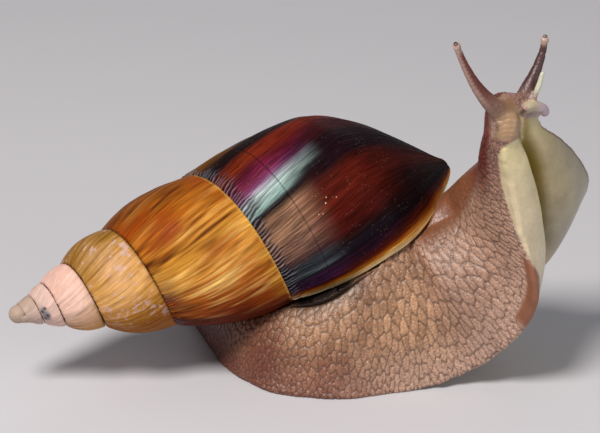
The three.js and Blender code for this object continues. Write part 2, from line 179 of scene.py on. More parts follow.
def paint(colour, *coats):
    """The colour under coats of (colour, share), laid in that order."""
    for coat, share in coats:
        colour = mix(colour, coat, share)
    return colour


def noise(seed, *coords):
    """Smooth noise from -1 to 1 over one to three coordinates, one cell per unit."""
    size = {1: 4096, 2: 256, 3: 64}[len(coords)]
    table = np.random.default_rng(seed).uniform(-1, 1, (size,) * len(coords))
    coords = np.broadcast_arrays(*coords)
    cells = [np.floor(c).astype(int) for c in coords]
    parts = [c - k for c, k in zip(coords, cells)]
    parts = [p * p * (3 - 2 * p) for p in parts]
    total = 0
    for corner in itertools.product((0, 1), repeat=len(coords)):
        weight = 1
        for p, step in zip(parts, corner):
            weight = weight * (p if step else 1 - p)
        total = total + weight * table[tuple((k + step) % size for k, step in zip(cells, corner))]
    return total


def linear(code):
    """A colour code such as 0xd9bfa6 as linear red, green and blue."""
    srgb = np.array([code >> 16 & 255, code >> 8 & 255, code & 255]) / 255
    return np.where(srgb <= 0.04045, srgb / 12.92, ((srgb + 0.055) / 1.055) ** 2.4)


def ramp(stops, x):
    """Colours between (place, code) stops."""
    places = [place for place, _ in stops]
    colours = np.array([linear(code) for _, code in stops])
    return np.stack([np.interp(x, places, colours[:, k]) for k in range(3)], -1)


def unit(vectors):
    return vectors / np.maximum(np.linalg.norm(vectors, axis=-1, keepdims=True), 1e-9)


# ---- meshes ----


def make_mesh(name, points, faces, layers=None):
    """A mesh object from points in millimetres. layers maps attribute names to values per point."""
    mesh = bpy.data.meshes.new(name)
    corners = ((np.asarray(points) - FOOTPRINT) * MM).tolist()
    mesh.from_pydata(corners, [], [list(map(int, face)) for face in faces])
    mesh.polygons.foreach_set("use_smooth", np.ones(len(mesh.polygons), bool))
    for key, values in (layers or {}).items():
        add_layer(mesh, key, values)
    mesh.update()
    return add_object(name, mesh)


def add_object(name, data):
    piece = bpy.data.objects.new(name, data)
    bpy.context.scene.collection.objects.link(piece)
    return piece


def add_layer(mesh, key, values):
    values = np.asarray(values, np.float32)
    if values.ndim == 1:
        mesh.attributes.new(key, "FLOAT", "POINT").data.foreach_set("value", values)
        return
    colour = np.concatenate([values, np.ones((len(values), 1), np.float32)], 1)
    mesh.color_attributes.new(key, "FLOAT_COLOR", "POINT").data.foreach_set("color", colour.ravel())


def grid_faces(rows, columns, start=0, closed=False):
    i, j = np.meshgrid(np.arange(rows - 1), np.arange(columns - (not closed)), indexing="ij")
    a = start + i * columns + j
    b = start + i * columns + (j + 1) % columns
    return np.stack([a, b, b + columns, a + columns], -1).reshape(-1, 4)


def loft(rings):
    """A closed tube through equal rings, each end closed by a fan: points and faces."""
    rings = np.asarray(rings)
    rows, columns = rings.shape[:2]
    points = np.concatenate([rings.reshape(-1, 3), rings[:1].mean(1), rings[-1:].mean(1)])
    faces = list(grid_faces(rows, columns, closed=True))
    ends = rows * columns
    last = (rows - 1) * columns
    for j in range(columns):
        k = (j + 1) % columns
        faces.append((ends, k, j))
        faces.append((ends + 1, last + j, last + k))
    return points, faces


def circle(across, up, sides):
    """Directions round a circle, the first along across."""
    angle = np.linspace(0, 2 * np.pi, sides, endpoint=False)[:, None]
    return across[..., None, :] * np.cos(angle) + up[..., None, :] * np.sin(angle)


def ball(polar, sides, out, across, up):
    """Rings of directions round a ball, at polar angles from out."""
    return np.cos(polar)[:, None, None] * out + np.sin(polar)[:, None, None] * circle(across, up, sides)


def read_points(piece):
    found = np.empty(len(piece.data.vertices) * 3, np.float32)
    piece.data.vertices.foreach_get("co", found)
    return found.reshape(-1, 3).astype(float) / MM + FOOTPRINT


def write_points(piece, points):
    piece.data.vertices.foreach_set("co", (((points - FOOTPRINT) * MM).astype(np.float32)).ravel())
    piece.data.update()


def read_normals(piece):
    found = np.empty(len(piece.data.vertices) * 3, np.float32)
    piece.data.vertices.foreach_get("normal", found)
    return found.reshape(-1, 3).astype(float)


def face_outward(piece):
    work = bmesh.new()
    work.from_mesh(piece.data)
    bmesh.ops.recalc_face_normals(work, faces=work.faces)
    work.to_mesh(piece.data)
    work.free()


def apply_modifiers(piece):
    ready = bpy.data.meshes.new_from_object(piece.evaluated_get(bpy.context.evaluated_depsgraph_get()))
    piece.modifiers.clear()
    old = piece.data
    piece.data = ready
    bpy.data.meshes.remove(old)


def join(pieces, name):
    bpy.ops.object.select_all(action="DESELECT")
    for piece in pieces:
        piece.select_set(True)
    bpy.context.view_layer.objects.active = pieces[0]
    bpy.ops.object.join()
    pieces[0].name = name
    return pieces[0]


def remesh(piece, size, passes):
    step = piece.modifiers.new("even", "REMESH")
    step.mode = "VOXEL"
    step.voxel_size = size * MM
    step.use_smooth_shade = True
    soften = piece.modifiers.new("soften", "SMOOTH")
    soften.factor = 0.5
    soften.iterations = passes
    apply_modifiers(piece)


# ---- shell curves ----

axis = np.array([
    math.cos(AXIS_PITCH) * math.cos(AXIS_YAW),
    math.cos(AXIS_PITCH) * math.sin(AXIS_YAW),
    math.sin(AXIS_PITCH),
])
side = unit(np.array([axis[1], -axis[0], 0]))
above = np.cross(side, axis)


def shell_point(turn, radius, height):
    angle = 2 * np.pi * (SIDE_TURN - np.asarray(turn))
    radius = np.asarray(radius)
    height = np.asarray(height)
    return (APEX + axis * height[..., None] + side * (radius * np.cos(angle))[..., None]
            + above * (radius * np.sin(angle))[..., None])


def whorl_profile(turn, x):
    grown = smoothstep(turn, SIDE_TURN - 1.3, SIDE_TURN - 0.3)
    power = SPIRE_BULGE + (BODY_BULGE - SPIRE_BULGE) * grown - TIP_FLATTENING * fade(turn, 2.2, 3.6)
    inner = growth(SUTURE_RADIUS, turn)
    outer = growth(SUTURE_RADIUS, turn + 1)
    top = growth(SUTURE_HEIGHT, turn)
    bottom = growth(SUTURE_HEIGHT, turn + 1)
    return outer - (outer - inner) * np.clip(1 - x, 0, 1) ** power, top + (bottom - top) * x


def base_profile(turn, y):
    outer = growth(SUTURE_RADIUS, turn + 1)
    top = growth(SUTURE_HEIGHT, turn + 1)
    late = np.maximum(turn - SIDE_TURN + 1, 0)
    bottom = smooth(BASE_HEIGHT, late * (len(BASE_HEIGHT) - 1))
    end = BASE_OFFSET * smoothstep(late, 0.3, 1)
    slim = BASE_SLIMMING * fade(turn, 5.88, 6.08)
    round_off = np.clip(1 - y ** (2 - 0.85 * slim), 0, 1) ** (BASE_POWER + slim)
    return end + (outer - end) * round_off, top + (bottom - top) * y


def last_profile(turn, v):
    """Radius and height: v runs 0 at the suture, 1 at the widest line, 2 at the base."""
    upper = whorl_profile(turn, np.minimum(v, 1))
    lower = base_profile(turn, np.sin(np.clip(v - 1, 0, 1) * np.pi / 2))
    return np.where(v <= 1, upper[0], lower[0]), np.where(v <= 1, upper[1], lower[1])


def lead(v):
    """How far growth near the suture runs ahead of growth at the base, in turns."""
    return LIP_LEAD * np.maximum(1.6 - v, 0) ** 1.2


def core_point(turn, height):
    return shell_point(turn, CORE_RADIUS + CORE_TAPER * height, height)


# ---- shell colours and relief, by growth in turns ----

UPPER_COLUMNS = 96
LOWER_COLUMNS = 150
ROW_STEP = 0.2
FEWEST_ROWS = 60  # in any whorl
BODY_RADIUS = 29  # of the last whorl, for its number of rows
TIP_SIDES = 64
LIP_BLEND = 0.4  # turns over which growth runs ahead near the suture
HEAD_START = 0.06  # turns before the first whorl where lengths begin
# share of cream, depth in the wall and turns back from the edge, for each row of the rim
RIM = [(0.3, 0.25, -0.0012), (0.7, 0.75, -0.0012), (1, 1, 0.001), (1, 1, 0.02)]
# turn and place across the whorl of the small dots near the tip
DOTS = [(1.95, 0.34), (1.975, 0.14), (2.015, 0.32), (2.045, 0.16)]

# Colours along the spire's growth. The lighter stops round 3.84 to 3.9 and 4.84 to 4.9 hold a painted sheen
# on the front of the ochre and gold whorls, and the dark stops from about 5.0 are partly painted shade on the
# lower side of the gold whorl.
SPIRE_COLOURS_AND_PAINTED_LIGHT = [
    (0, 0xb4a08e), (0.7, 0xae9686), (1.2, 0xc4aaa0), (2.4, 0xdcb6a8), (2.75, 0xdeb2a2), (2.92, 0xe2bcaa),
    (3.06, 0xbd8c58), (3.2, 0xa87638), (3.5, 0x966a2e), (3.7, 0x8e6424), (3.76, 0xa4762e),
    (3.84, 0xc28c44), (3.9, 0xd29c58), (3.96, 0xb27a30), (4.04, 0x8e5416), (4.12, 0x905a26),
    (4.3, 0x8a5420), (4.6, 0x743c12), (4.7, 0x8a4c10), (4.77, 0xa86018), (4.84, 0xc08430), (4.9, 0xc98a3c),
    (4.955, 0xa8581a), (4.995, 0x8a3c10), (5.03, 0x66200c), (5.066, 0x5a2016), (5.073, 0xa37a62),
    (5.08, 0x55202c), (5.095, 0x6e2c14), (5.12, 0x5a1f14), (5.25, 0x6b3018), (5.4, 0x4a2014),
]
# The pale grey-green stops from about 5.76 to 5.795 here and in the flank's colours are a painted sheen band
# on the last whorl.
SHOULDER_COLOURS_AND_SHEEN = [
    (5.1, 0x5a2414), (5.22, 0x7a3c1a), (5.3, 0x3a1710), (5.4, 0x6a3318), (5.5, 0x35140d), (5.58, 0x7c5424),
    (5.615, 0x5c381a), (5.635, 0x1c0f0e), (5.662, 0x1c0e10), (5.68, 0x64200f), (5.7, 0x702611),
    (5.716, 0x541620), (5.728, 0x601834), (5.742, 0x702840), (5.752, 0x76345c), (5.76, 0x948298),
    (5.768, 0xa2aead), (5.785, 0x92aaa3), (5.795, 0x74908a), (5.8, 0x2c3433), (5.806, 0x17131a),
    (5.813, 0x56402f), (5.826, 0x966e56), (5.85, 0x8c6850), (5.875, 0x7c5a4a), (5.897, 0x6a4c40),
    (5.914, 0x342628), (5.925, 0x3c4448), (5.935, 0x22242a), (5.945, 0x4c565a), (5.952, 0x17121a),
    (5.962, 0x2e1430), (5.976, 0x331432), (5.983, 0x3c120e), (5.988, 0x7c3408), (5.993, 0xb8741c),
    (5.9965, 0xd4a050), (5.999, 0xd8b684), (6.02, 0xe2c9a0),
]
FLANK_COLOURS_AND_SHEEN = [
    (5.1, 0x54200f), (5.25, 0x6a3018), (5.33, 0x30110b), (5.42, 0x5a2814), (5.5, 0x280e0a),
    (5.6, 0x3c170b), (5.64, 0x180a0a), (5.665, 0x1a0b0a), (5.682, 0x661c0b), (5.708, 0x661b0b),
    (5.725, 0x4c1014), (5.742, 0x460e26), (5.757, 0x402038), (5.766, 0x62666c), (5.782, 0x687672),
    (5.79, 0x2a3032), (5.8, 0x14090d), (5.818, 0x2a0c09), (5.835, 0x48130b), (5.865, 0x50150b),
    (5.895, 0x44110b), (5.916, 0x370d0a), (5.932, 0x180a0b), (5.942, 0x161019), (5.955, 0x120810),
    (5.966, 0x220a1a), (5.979, 0x3c0e06), (5.987, 0x6c2a08), (5.9925, 0xb06a18), (5.9965, 0xd0a050),
    (6.0, 0xd8b684), (6.02, 0xe2c9a0),
]
BASE_COLOURS = [
    (5.1, 0x3c170d), (5.3, 0x1f0c09), (5.5, 0x3a170c), (5.62, 0x160a0a), (5.7, 0x380f08), (5.75, 0x1c0a10),
    (5.8, 0x13080d), (5.84, 0x300d0a), (5.866, 0x3a100b), (5.9, 0x1e0a09), (5.955, 0x0c070a),
    (5.976, 0x3c1005), (5.986, 0x7a3a10), (5.994, 0xb87a30), (6.0, 0xc49a5c), (6.02, 0xd6b888),
]
CREAM_GOLD = 0xe3b566
DARK_BROWN = 0x4f220c
RUST = 0x8c3c0c
OLD_ROSE = 0xd8ab84
LILAC = 0xc6a8a8
BLUE_GREY = 0x53606e
BLACK_DOT = 0x17161a
SUTURE_DARK = 0x20130f
SUTURE_GOLD = 0xcf9d4c
PURPLE_STAIN = 0x4a2226
# painted highlight on the crests of the crimps
CRIMP_HIGHLIGHT = 0xa9a3b0
CRIMP_GREY = 0x4a3c43
LATE_YELLOW = 0xc08a2c
OCHRE_STAIN = 0xa67c3c
INNER_CREAM = 0xe9dcc4
SPECK_PALE = 0xd8c8a4
DIM_MAROON = 0x300c0e
DIM_BLACK = 0x180a10


def turn_length():
    """Millimetres grown along the widest line up to each of a row of turns."""
    turns = np.linspace(0, 6.3, 1261)
    rate = 2 * np.pi * growth(SUTURE_RADIUS, turns + 1)
    return turns, np.concatenate([[0], np.cumsum((rate[1:] + rate[:-1]) / 2 * np.diff(turns))])


GROWN_TURNS, GROWN_LENGTH = turn_length()


def old_whorls(turn, v, grown, along, across):
    """Cream tip, ochre fifth whorl with lilac flakes and a painted sheen, and the wood-grained gold whorl
    with a painted highlight.
    """
    broad = noise(11, along / 2.6, across / 15)
    thin = noise(12, along / 1.0, across / 9)
    hair = noise(13, along / 0.5, across / 6)
    grain = 0.36 * broad + 0.5 * thin + 0.5 * hair
    gold = smoothstep(turn, 4.1, 4.5)
    old = smoothstep(turn, 2.8, 3.1) * fade(turn, 4.0, 4.15)
    drift = 0.022 * gold * (broad + 0.4 * thin) + 0.01 * noise(14, along / 5, across / 6)
    # painted highlight over the front of the gold whorl, where the cream-gold grain is made much stronger
    light = smoothstep(grown, 4.74, 4.84) * fade(grown, 4.98, 5.05)
    rust = noise(37, along / 6, across / 9) + 0.6 * noise(38, along / 2.2, across / 6)
    # painted sheen in the middle of the ochre whorl, laid on with old rose
    sheen = bump(turn, 3.88, 0.09) * bump(v, 0.5, 0.35)
    yellow = smoothstep(v, 0.8, 0.97) * smoothstep(turn, 4.9, 4.98) * fade(turn, 5.066, 5.08)
    flakes = noise(15, (along + 0.5 * across) / 0.95, (across - 0.6 * along) / 1.05) + 0.35 * hair
    flakes = flakes + 0.8 * noise(16, along / 3.5, across / 3.5)
    flakes = flakes + 0.4 * noise(39, (along - across) / 0.5, (along + across) / 0.5)
    low = 0.45 * bump(turn, 4.06, 0.09)
    stain = bump(turn, 5.02, 0.05) * fade(v, 0.05, 0.22)
    colour = paint(
        ramp(SPIRE_COLOURS_AND_PAINTED_LIGHT, grown + drift),
        (CREAM_GOLD, np.clip(grain - 0.05, 0, 1) * (0.2 + 0.95 * light) * gold),
        (DARK_BROWN, np.clip(-grain - 0.02, 0, 1) * 1.1 * gold),
        (RUST, np.clip(rust, 0, 1) * 0.85 * gold),
        (DARK_BROWN, np.clip(-grain - 0.1, 0, 1) * 0.7 * old),
        (OLD_ROSE, np.clip(grain + 0.35 + 0.7 * sheen, 0, 1) * (0.18 + 0.4 * sheen) * old),
        (LATE_YELLOW, 0.6 * yellow * (0.6 + 0.6 * thin)),
        (LILAC, 0.6 * smoothstep(flakes + low, 0.66, 1.1) * old),
        (PURPLE_STAIN, 0.75 * stain * (0.7 + 0.5 * thin)),
    )
    mottle = noise(17, along / 0.8, across / 0.9) + 0.6 * noise(18, along / 2.2, across / 2.6)
    colour = colour * (1 + (0.07 * mottle + 0.1 * hair) * (1 - gold))[..., None]
    ochre = smoothstep(v, 0.72, 1.0) * smoothstep(turn, 2.85, 3.0) * fade(turn, 3.1, 3.2)
    patch = bump(turn, 2.0, 0.075) * bump(v, 0.25, 0.2) * fade(turn, 2.9, 3.1)
    dots = [(BLACK_DOT, 0.95 * bump(turn, at, 0.013) * bump(v, down, 0.075)) for at, down in DOTS]
    return paint(
        colour,
        (OCHRE_STAIN, 0.6 * ochre * smoothstep(mottle, -0.3, 0.4)),
        (BLUE_GREY, 0.75 * smoothstep(patch * (1 + 0.6 * mottle), 0.1, 0.8)),
        *dots,
    )


def last_whorl(v, grown, along, across):
    """Growth bands of the last whorl: bright near the suture, dark towards the base, with a painted sheen
    band across the flank.
    """
    wavy = grown + 0.0016 * noise(19, along / 2, across / 12) + 0.002 * noise(20, along / 9, across / 5)
    ragged_v = v + 0.1 * noise(27, along / 4, across / 4)
    dim = smoothstep(v, 0.6, 0.9) * smoothstep(grown, 5.715, 5.74) * fade(grown, 5.81, 5.825)
    colour = paint(
        ramp(SHOULDER_COLOURS_AND_SHEEN, wavy),
        (ramp(FLANK_COLOURS_AND_SHEEN, wavy), smoothstep(v, 0.32, 0.68)),
        (ramp(BASE_COLOURS, wavy), smoothstep(ragged_v, 0.9, 1.35)),
        (mix(DIM_MAROON, DIM_BLACK, smoothstep(grown, 5.745, 5.77)), dim),
    )
    streak = 0.4 * noise(28, along / 1.6, across / 22) + 0.6 * noise(29, along / 0.5, across / 13)
    contrast = 0.28 + 0.4 * smoothstep(grown, 5.755, 5.77) * fade(v, 0.5, 1.0)
    return colour * np.clip(1 + contrast * streak, 0.2, 2)[..., None]


def shell_colour(turn, v, grown, along, across, width):
    """Colour of the shell: grown is growth in turns, along, across and width are in millimetres."""
    last = smoothstep(turn, BODY_START - 0.02, BODY_START)
    colour = mix(old_whorls(turn, v, grown, along, across), last_whorl(v, grown, along, across), last)
    ragged = 0.7 + 0.5 * noise(30, along / 0.7, across / 9)
    thread = bump(across, 0, 0.3) * fade(turn, 4.95, 5.1) * smoothstep(turn, 0.9, 1.9)
    seam = bump(across, width, 0.42) * (turn < BODY_START)
    fold, crimp, reach = suture_folds(v, grown, along, across)
    crimp = crimp * last
    colour = paint(
        colour,
        (SUTURE_DARK, np.clip(0.9 * thread * ragged, 0, 1)),
        (SUTURE_DARK, 0.45 * seam * smoothstep(turn, 2.5, 3.2) * fade(turn, 4, 4.2)),
        (SUTURE_GOLD, np.clip(1.1 * seam * ragged * smoothstep(turn, 4.5, 4.7), 0, 1)),
        (CRIMP_GREY, (0.1 + 0.3 * bump(grown, 5.785, 0.035)) * crimp),
    )
    # painted shade in the valleys of the crimps and of the fine wrinkles below the suture
    valley_shade = (0.8 * crimp + 0.4 * reach * last) * smoothstep(-fold, -0.45, 0.5)
    colour = colour * (1 - valley_shade)[..., None]
    # painted highlight on the crests of the crimps
    colour = mix(colour, CRIMP_HIGHLIGHT, np.clip(0.25 * crimp * smoothstep(fold, 0.3, 0.9), 0, 1))
    line = spiral_line(turn, across, width)
    return np.clip(colour * (1 - 0.6 * line)[..., None], 0.002, 1)


def suture_folds(v, grown, along, across):
    """Short curved wrinkles below the last suture: their wave, and shares near and far from it."""
    bend = 0.3 * np.maximum(3.0 - across, 0)
    place = (along - bend) / 1.25 + 0.6 * noise(25, along / 2.7, across / 6)
    place = place + 0.15 * noise(40, along / 1.1, across / 1.6)
    fold = np.cos(2 * np.pi * place)
    thin = (along + 0.1 * across) / 0.9 + 0.7 * noise(26, along / 3.4, across / 3.1)
    width = 2.9 + 1.3 * bump(grown, 5.775, 0.035) + 1.3 * noise(31, along / 1.7)
    crimp = fade(across, 0.5 * width, 1.4 * width)
    reach = fade(v, 0.33, 0.41) * (1 - crimp)
    return crimp * fold - (1 - crimp) * (1 - 2 * np.abs(np.cos(np.pi * thin))), crimp, reach


def spiral_line(turn, across, width):
    return bump(across, 0.4 * width, 0.15) * smoothstep(turn, 5.66, 5.74)


def shell_relief(turn, v, grown, along, across, width):
    """Height of the sculpture over the smooth shell, in millimetres."""
    late = smoothstep(turn, 3.6, 5.0)
    last = smoothstep(turn, 4.98, 5.1)
    relief = -0.3 * bump(across, 0, 0.5) * (1 + 0.5 * noise(21, along / 0.8, across / 9))
    relief *= smoothstep(turn, 0.7, 2.0)
    relief -= 0.1 * bump(across, width, 0.35) * (1 - last)
    relief += (0.02 + 0.035 * late) * noise(22, along / 0.75, across / 22)
    relief += (0.03 + 0.07 * late) * noise(23, along / 2.6, across / 50)
    relief += 0.09 * noise(24, along / 9, across / 9) * late
    relief += 0.03 * noise(33, along / 1.1, across / 1.1) * (1 - late)
    fold, crimp, reach = suture_folds(v, grown, along, across)
    relief += last * fold * (0.26 * crimp + 0.07 * reach)
    return relief - 0.14 * spiral_line(turn, across, width)


def shell_rows():
    """Turns of every ring, spire first, then the last whorl out to its rim."""
    spire = []
    for whorl in range(6):
        end = min(whorl + 1, BODY_START)
        girth = 2 * np.pi * growth(SUTURE_RADIUS, whorl + 1.5) * (end - whorl)
        spire.append(np.linspace(whorl, end, max(int(girth / ROW_STEP), FEWEST_ROWS), endpoint=False))
    girth = 2 * np.pi * BODY_RADIUS * (LIP_TURN - BODY_START)
    return np.concatenate(spire), np.linspace(BODY_START, LIP_TURN, int(girth / ROW_STEP))


def sculpt(turn, v):
    """The sculpted outer surface: its points, their normals and the values that its material reads."""
    radius, height = last_profile(turn, v)
    short = np.clip(TIP_RADIUS + TIP_SPREAD * (height - TIP_CENTRE) - radius, 0, 1)
    radius = radius + short * fade(turn, 0.9, 1.9) * (height > TIP_CENTRE - 1)
    flat = shell_point(turn, radius, height)
    steps = np.linalg.norm(np.diff(flat, axis=1), axis=-1)
    across = np.concatenate([np.zeros((len(turn), 1)), np.cumsum(steps, 1)], 1)
    width = np.array([np.interp(1, row_v, row) for row_v, row in zip(v, across)])[:, None]
    grown = turn - lead(v)
    along = np.interp(grown + HEAD_START, GROWN_TURNS, GROWN_LENGTH)
    normal = unit(np.cross(np.gradient(flat, axis=1), np.gradient(flat, axis=0)))
    away = unit(flat - (APEX + axis * height[..., None]))
    normal = normal * np.sign((normal * away).sum(-1).mean())
    relief = shell_relief(turn, v, grown, along, across, width)
    colour = shell_colour(turn, v, grown, along, across, width)
    worn = 0.04 + 0.95 * bump(grown, 5.862, 0.014) * bump(v, 0.62, 0.13) * (turn > BODY_START)
    worn = worn * smoothstep(noise(34, along / 2.2, across / 2.4), 0.05, 0.4) * smoothstep(turn, 4.4, 5)
    grain = 0.25 + 0.2 * smoothstep(turn, 2.9, 3.2) + 0.2 * smoothstep(turn, 4.0, 4.4)
    grain = grain + 0.35 * smoothstep(turn, 5.0, 5.1)
    values = {"shade": colour, "along": along, "across": across, "worn": worn, "grain": grain}
    return flat + normal * relief[..., None], normal, values


def make_tip():
    """The rounded tip that the first whorl winds out of."""
    polar = np.linspace(0.03, 2.2, 40)
    angle = np.linspace(0, 2 * np.pi, TIP_SIDES, endpoint=False)
    radius = TIP_RADIUS + 0.03 * noise(35, polar[:, None] * 5, angle * 3)
    rings = APEX + axis * TIP_CENTRE + radius[..., None] * ball(polar, TIP_SIDES, -axis, side, above)
    points, faces = loft(rings)
    shade = ramp(SPIRE_COLOURS_AND_PAINTED_LIGHT, np.full(len(points), 0.4))
    values = {
        "shade": shade * (1 + 0.08 * noise(36, *points.T))[:, None],
        "along": np.append(np.broadcast_to(angle * 1.5, radius.shape), [0, 0]),
        "across": np.append(np.repeat(polar * TIP_RADIUS, TIP_SIDES), [0, 0]),
        "worn": np.zeros(len(points)),
        "grain": np.full(len(points), 0.2),
    }
    tip = make_mesh("tip", points, faces, values)
    face_outward(tip)
    return tip


def make_shell():
    """The spire and the last whorl as two grids, sewn together where the last whorl begins."""
    parts = shell_grids()
    spire_rows, spire_columns = parts[0][0].shape[:2]
    body_rows, body_columns = parts[1][0].shape[:2]
    outside = spire_columns - 2
    body_start = spire_rows * spire_columns
    last_ring = body_start - spire_columns
    spire_core = body_start - 1
    body_core = body_start + body_columns - 1
    points = np.concatenate([grid.reshape(-1, 3) for grid, _ in parts])
    count = len(points)
    end_ring = count - body_columns
    faces = list(grid_faces(spire_rows, spire_columns, closed=True))
    faces += list(grid_faces(body_rows + len(RIM), body_columns, body_start, closed=True))
    for j in range(outside):
        faces.append((last_ring + j, last_ring + j + 1, body_start + j + 1, body_start + j))
    faces.append((spire_core, last_ring, body_start, body_core))
    faces.append((last_ring + outside, *range(body_start + outside, body_core + 1), spire_core))
    faces += [(count, (j + 1) % spire_columns, j) for j in range(spire_columns)]
    faces += [(count + 1, end_ring + j, end_ring + (j + 1) % body_columns) for j in range(body_columns)]
    points = np.concatenate([points, [points[:spire_columns].mean(0), points[end_ring:].mean(0)]])
    layers = {}
    for key in parts[0][1]:
        rows = np.concatenate([values[key].reshape(-1, *values[key].shape[2:]) for _, values in parts])
        layers[key] = np.concatenate([rows, rows[:1], rows[-1:]])
    shell = make_mesh("shell_surface", points, faces, layers)
    face_outward(shell)
    return join([shell, make_tip()], "shell_surface")


def shell_grids():
    """Points and values in rows: of the spire, of the last whorl and of the rim."""
    spire_turns, body_turns = shell_rows()
    upper = np.linspace(0, 1, UPPER_COLUMNS) ** 1.2
    whole = np.append(upper, np.linspace(1, 2, LOWER_COLUMNS + 1)[1:])
    body_v = np.broadcast_to(whole, (len(body_turns), len(whole)))
    late = smoothstep(body_turns, LIP_TURN - LIP_BLEND, LIP_TURN)[:, None]
    body_turn = body_turns[:, None] + late * lead(body_v)
    # The spire gets two rows more than it keeps, so that its last normals are true.
    beyond = spire_turns[-1] + (spire_turns[-1] - spire_turns[-2]) * np.arange(1, 3)
    spire_turn = np.append(spire_turns, beyond)[:, None]
    spire_turn = np.broadcast_to(spire_turn, (len(spire_turn), len(upper)))
    kept = len(spire_turns)
    outer, _, values = sculpt(spire_turn, np.broadcast_to(upper, spire_turn.shape))
    spire = lead_in(outer[:kept], spire_turn[:kept], {key: rows[:kept] for key, rows in values.items()})
    outer, normal, values = sculpt(body_turn, body_v)
    body = lead_in(outer, body_turn, values)
    edge = {key: rows[-1] for key, rows in values.items()}
    return spire, body, rim_rows(body_turn[-1], whole, normal[-1], edge)


def lead_in(outer, turn, values):
    """Rows led in to the columella at both ends, where their end values are repeated."""
    top = core_point(turn[:, 0], growth(SUTURE_HEIGHT, turn[:, 0]))
    bottom = core_point(turn[:, -1], ((outer[:, -1] - APEX) * axis).sum(-1))
    points = np.concatenate([top[:, None], outer, bottom[:, None]], 1)
    return points, {key: np.concatenate([rows[:, :1], rows, rows[:, -1:]], 1) for key, rows in values.items()}


def rim_rows(turn, v, normal, edge):
    """The rim: it turns in over the lip's edge and runs back along the inside of the wall."""
    cream, depth, back = np.array(RIM).T[..., None]
    turn = turn - back
    wall = shell_point(turn, *last_profile(turn, v)) - normal * (LIP_WALL * depth)[..., None]
    values = {key: np.repeat(row[None], len(RIM), 0) for key, row in edge.items()}
    values["worn"] = np.zeros(turn.shape)
    points, values = lead_in(wall, turn, values)
    values["shade"][:, 1:-1] = mix(values["shade"][:, 1:-1], INNER_CREAM, cream * np.ones(len(v)))
    return points, values


# ---- flesh curves ----

LAST_STATION = len(STATIONS) - 1
BODY_RINGS = 420
SKIN_VOXEL = 0.32
TRIM_VOXEL = 0.6
TRIM_GAP = 0.15  # between the shell and the flesh under it
TRIM_CORE = 0.05
INNER_LAPPET = [57.9, -22.9, 78.9]
TAIL_TIP = [-37, 42, 1.9]


def station(s):
    """Size and direction of the cross-section at s along the body."""
    x, y, z, heading, pitch, right, left, body, height, slope, lobes, curl = (
        float(smooth(STATIONS[:, k], s)) for k in range(STATIONS.shape[1]))
    heading = math.radians(heading)
    pitch = math.radians(pitch)
    across = np.array([math.sin(heading), -math.cos(heading), 0])
    up = [-math.sin(pitch) * math.cos(heading), -math.sin(pitch) * math.sin(heading), math.cos(pitch)]
    return {
        "at": np.array([x, y, max(z, 0)]), "across": across, "up": np.array(up), "right": right, "left": left,
        "body": body, "height": height, "slope": slope, "lobes": max(lobes, 0), "curl": max(curl, 0),
    }


def sole_line(f, x):
    """Height of the sole's underside at x: flat on the floor, two-lobed where the foot is raised."""
    reach = np.where(x > 0, f["right"], f["left"])
    t = np.minimum(np.abs(x) / reach, 1)
    groove = GROOVE_DEPTH * np.exp(-(t * reach / GROOVE_WIDTH) ** 2)
    crest = -0.7 * np.exp(-((x - 2.9) / 0.8) ** 2)
    swelling = LOBE_BULGE * np.sin(np.pi * t ** 0.8)
    return f["lobes"] * (groove + crest - swelling) - np.where(x > 0, f["curl"] * t * t, 0)


def side_line(f, reach, curl, count):
    rise = np.sin(np.linspace(0, np.pi / 2, count))
    x = f["body"] * np.maximum(1 - rise * rise, 0) ** f["slope"]
    y = MARGIN_HEIGHT + (f["height"] - MARGIN_HEIGHT) * rise
    x = x + (reach - f["body"]) * np.exp(-(y - MARGIN_HEIGHT) / SKIRT_FLARE)
    return x, y - curl * np.exp(-y / CURL_FADE)


def outline(s, sides=70, under=90):
    """Points of the skin's cross-section and their place round it: -1 to 1 over the back, 1 to 3 below."""
    f = station(s)
    scallop = 0.55 * float(noise(31, s * 3.1)) + 0.3 * float(noise(32, s * 7.3))
    right_reach = f["right"] + scallop
    left_reach = f["left"] - scallop
    right = side_line(f, right_reach, f["curl"], sides)
    left = side_line(f, left_reach, 0, sides)
    below = np.linspace(right_reach - 0.5, 0.5 - left_reach, under)
    x = np.concatenate([-left[0], right[0][::-1], below])
    y = np.concatenate([left[1], right[1][::-1], sole_line(f, below)])
    ends = ((-1, 0, sides), (0, 1, sides), (1.04, 2.96, under))
    place = np.concatenate([np.linspace(*end) for end in ends])
    keep = np.arange(len(x)) != sides
    x, y, place = x[keep], y[keep], place[keep]
    return f["at"] + f["across"] * x[:, None] + f["up"] * y[:, None], place


def body_grid():
    """Rings of the whole body: points, stations and places round it."""
    stations = np.linspace(0, LAST_STATION, BODY_RINGS)
    rings = [outline(s) for s in stations]
    return np.array([points for points, _ in rings]), stations, rings[0][1]


def tube(path, radii, name, sides=20, per=6):
    """A tapering round rod along a smooth path."""
    path = np.array(path, float)
    t = np.linspace(0, len(path) - 1, (len(path) - 1) * per + 1)
    centre = np.stack([smooth(path[:, k], t) for k in range(3)], -1)
    radius = smooth(radii, t * (len(radii) - 1) / (len(path) - 1))
    forward = unit(np.gradient(centre, axis=0))
    across = unit(np.cross(forward, [0.3, 0.2, 1]))
    up = np.cross(across, forward)
    return make_mesh(name, *loft(centre[:, None] + radius[:, None, None] * circle(across, up, sides)))


def round_lump(centre, radii, name):
    """A round lump of the given half sizes."""
    x, y, z = np.eye(3)
    rings = ball(np.linspace(0.12, np.pi - 0.12, 15), 24, z, x, y)
    return make_mesh(name, *loft(np.array(centre) + rings * np.array(radii)))


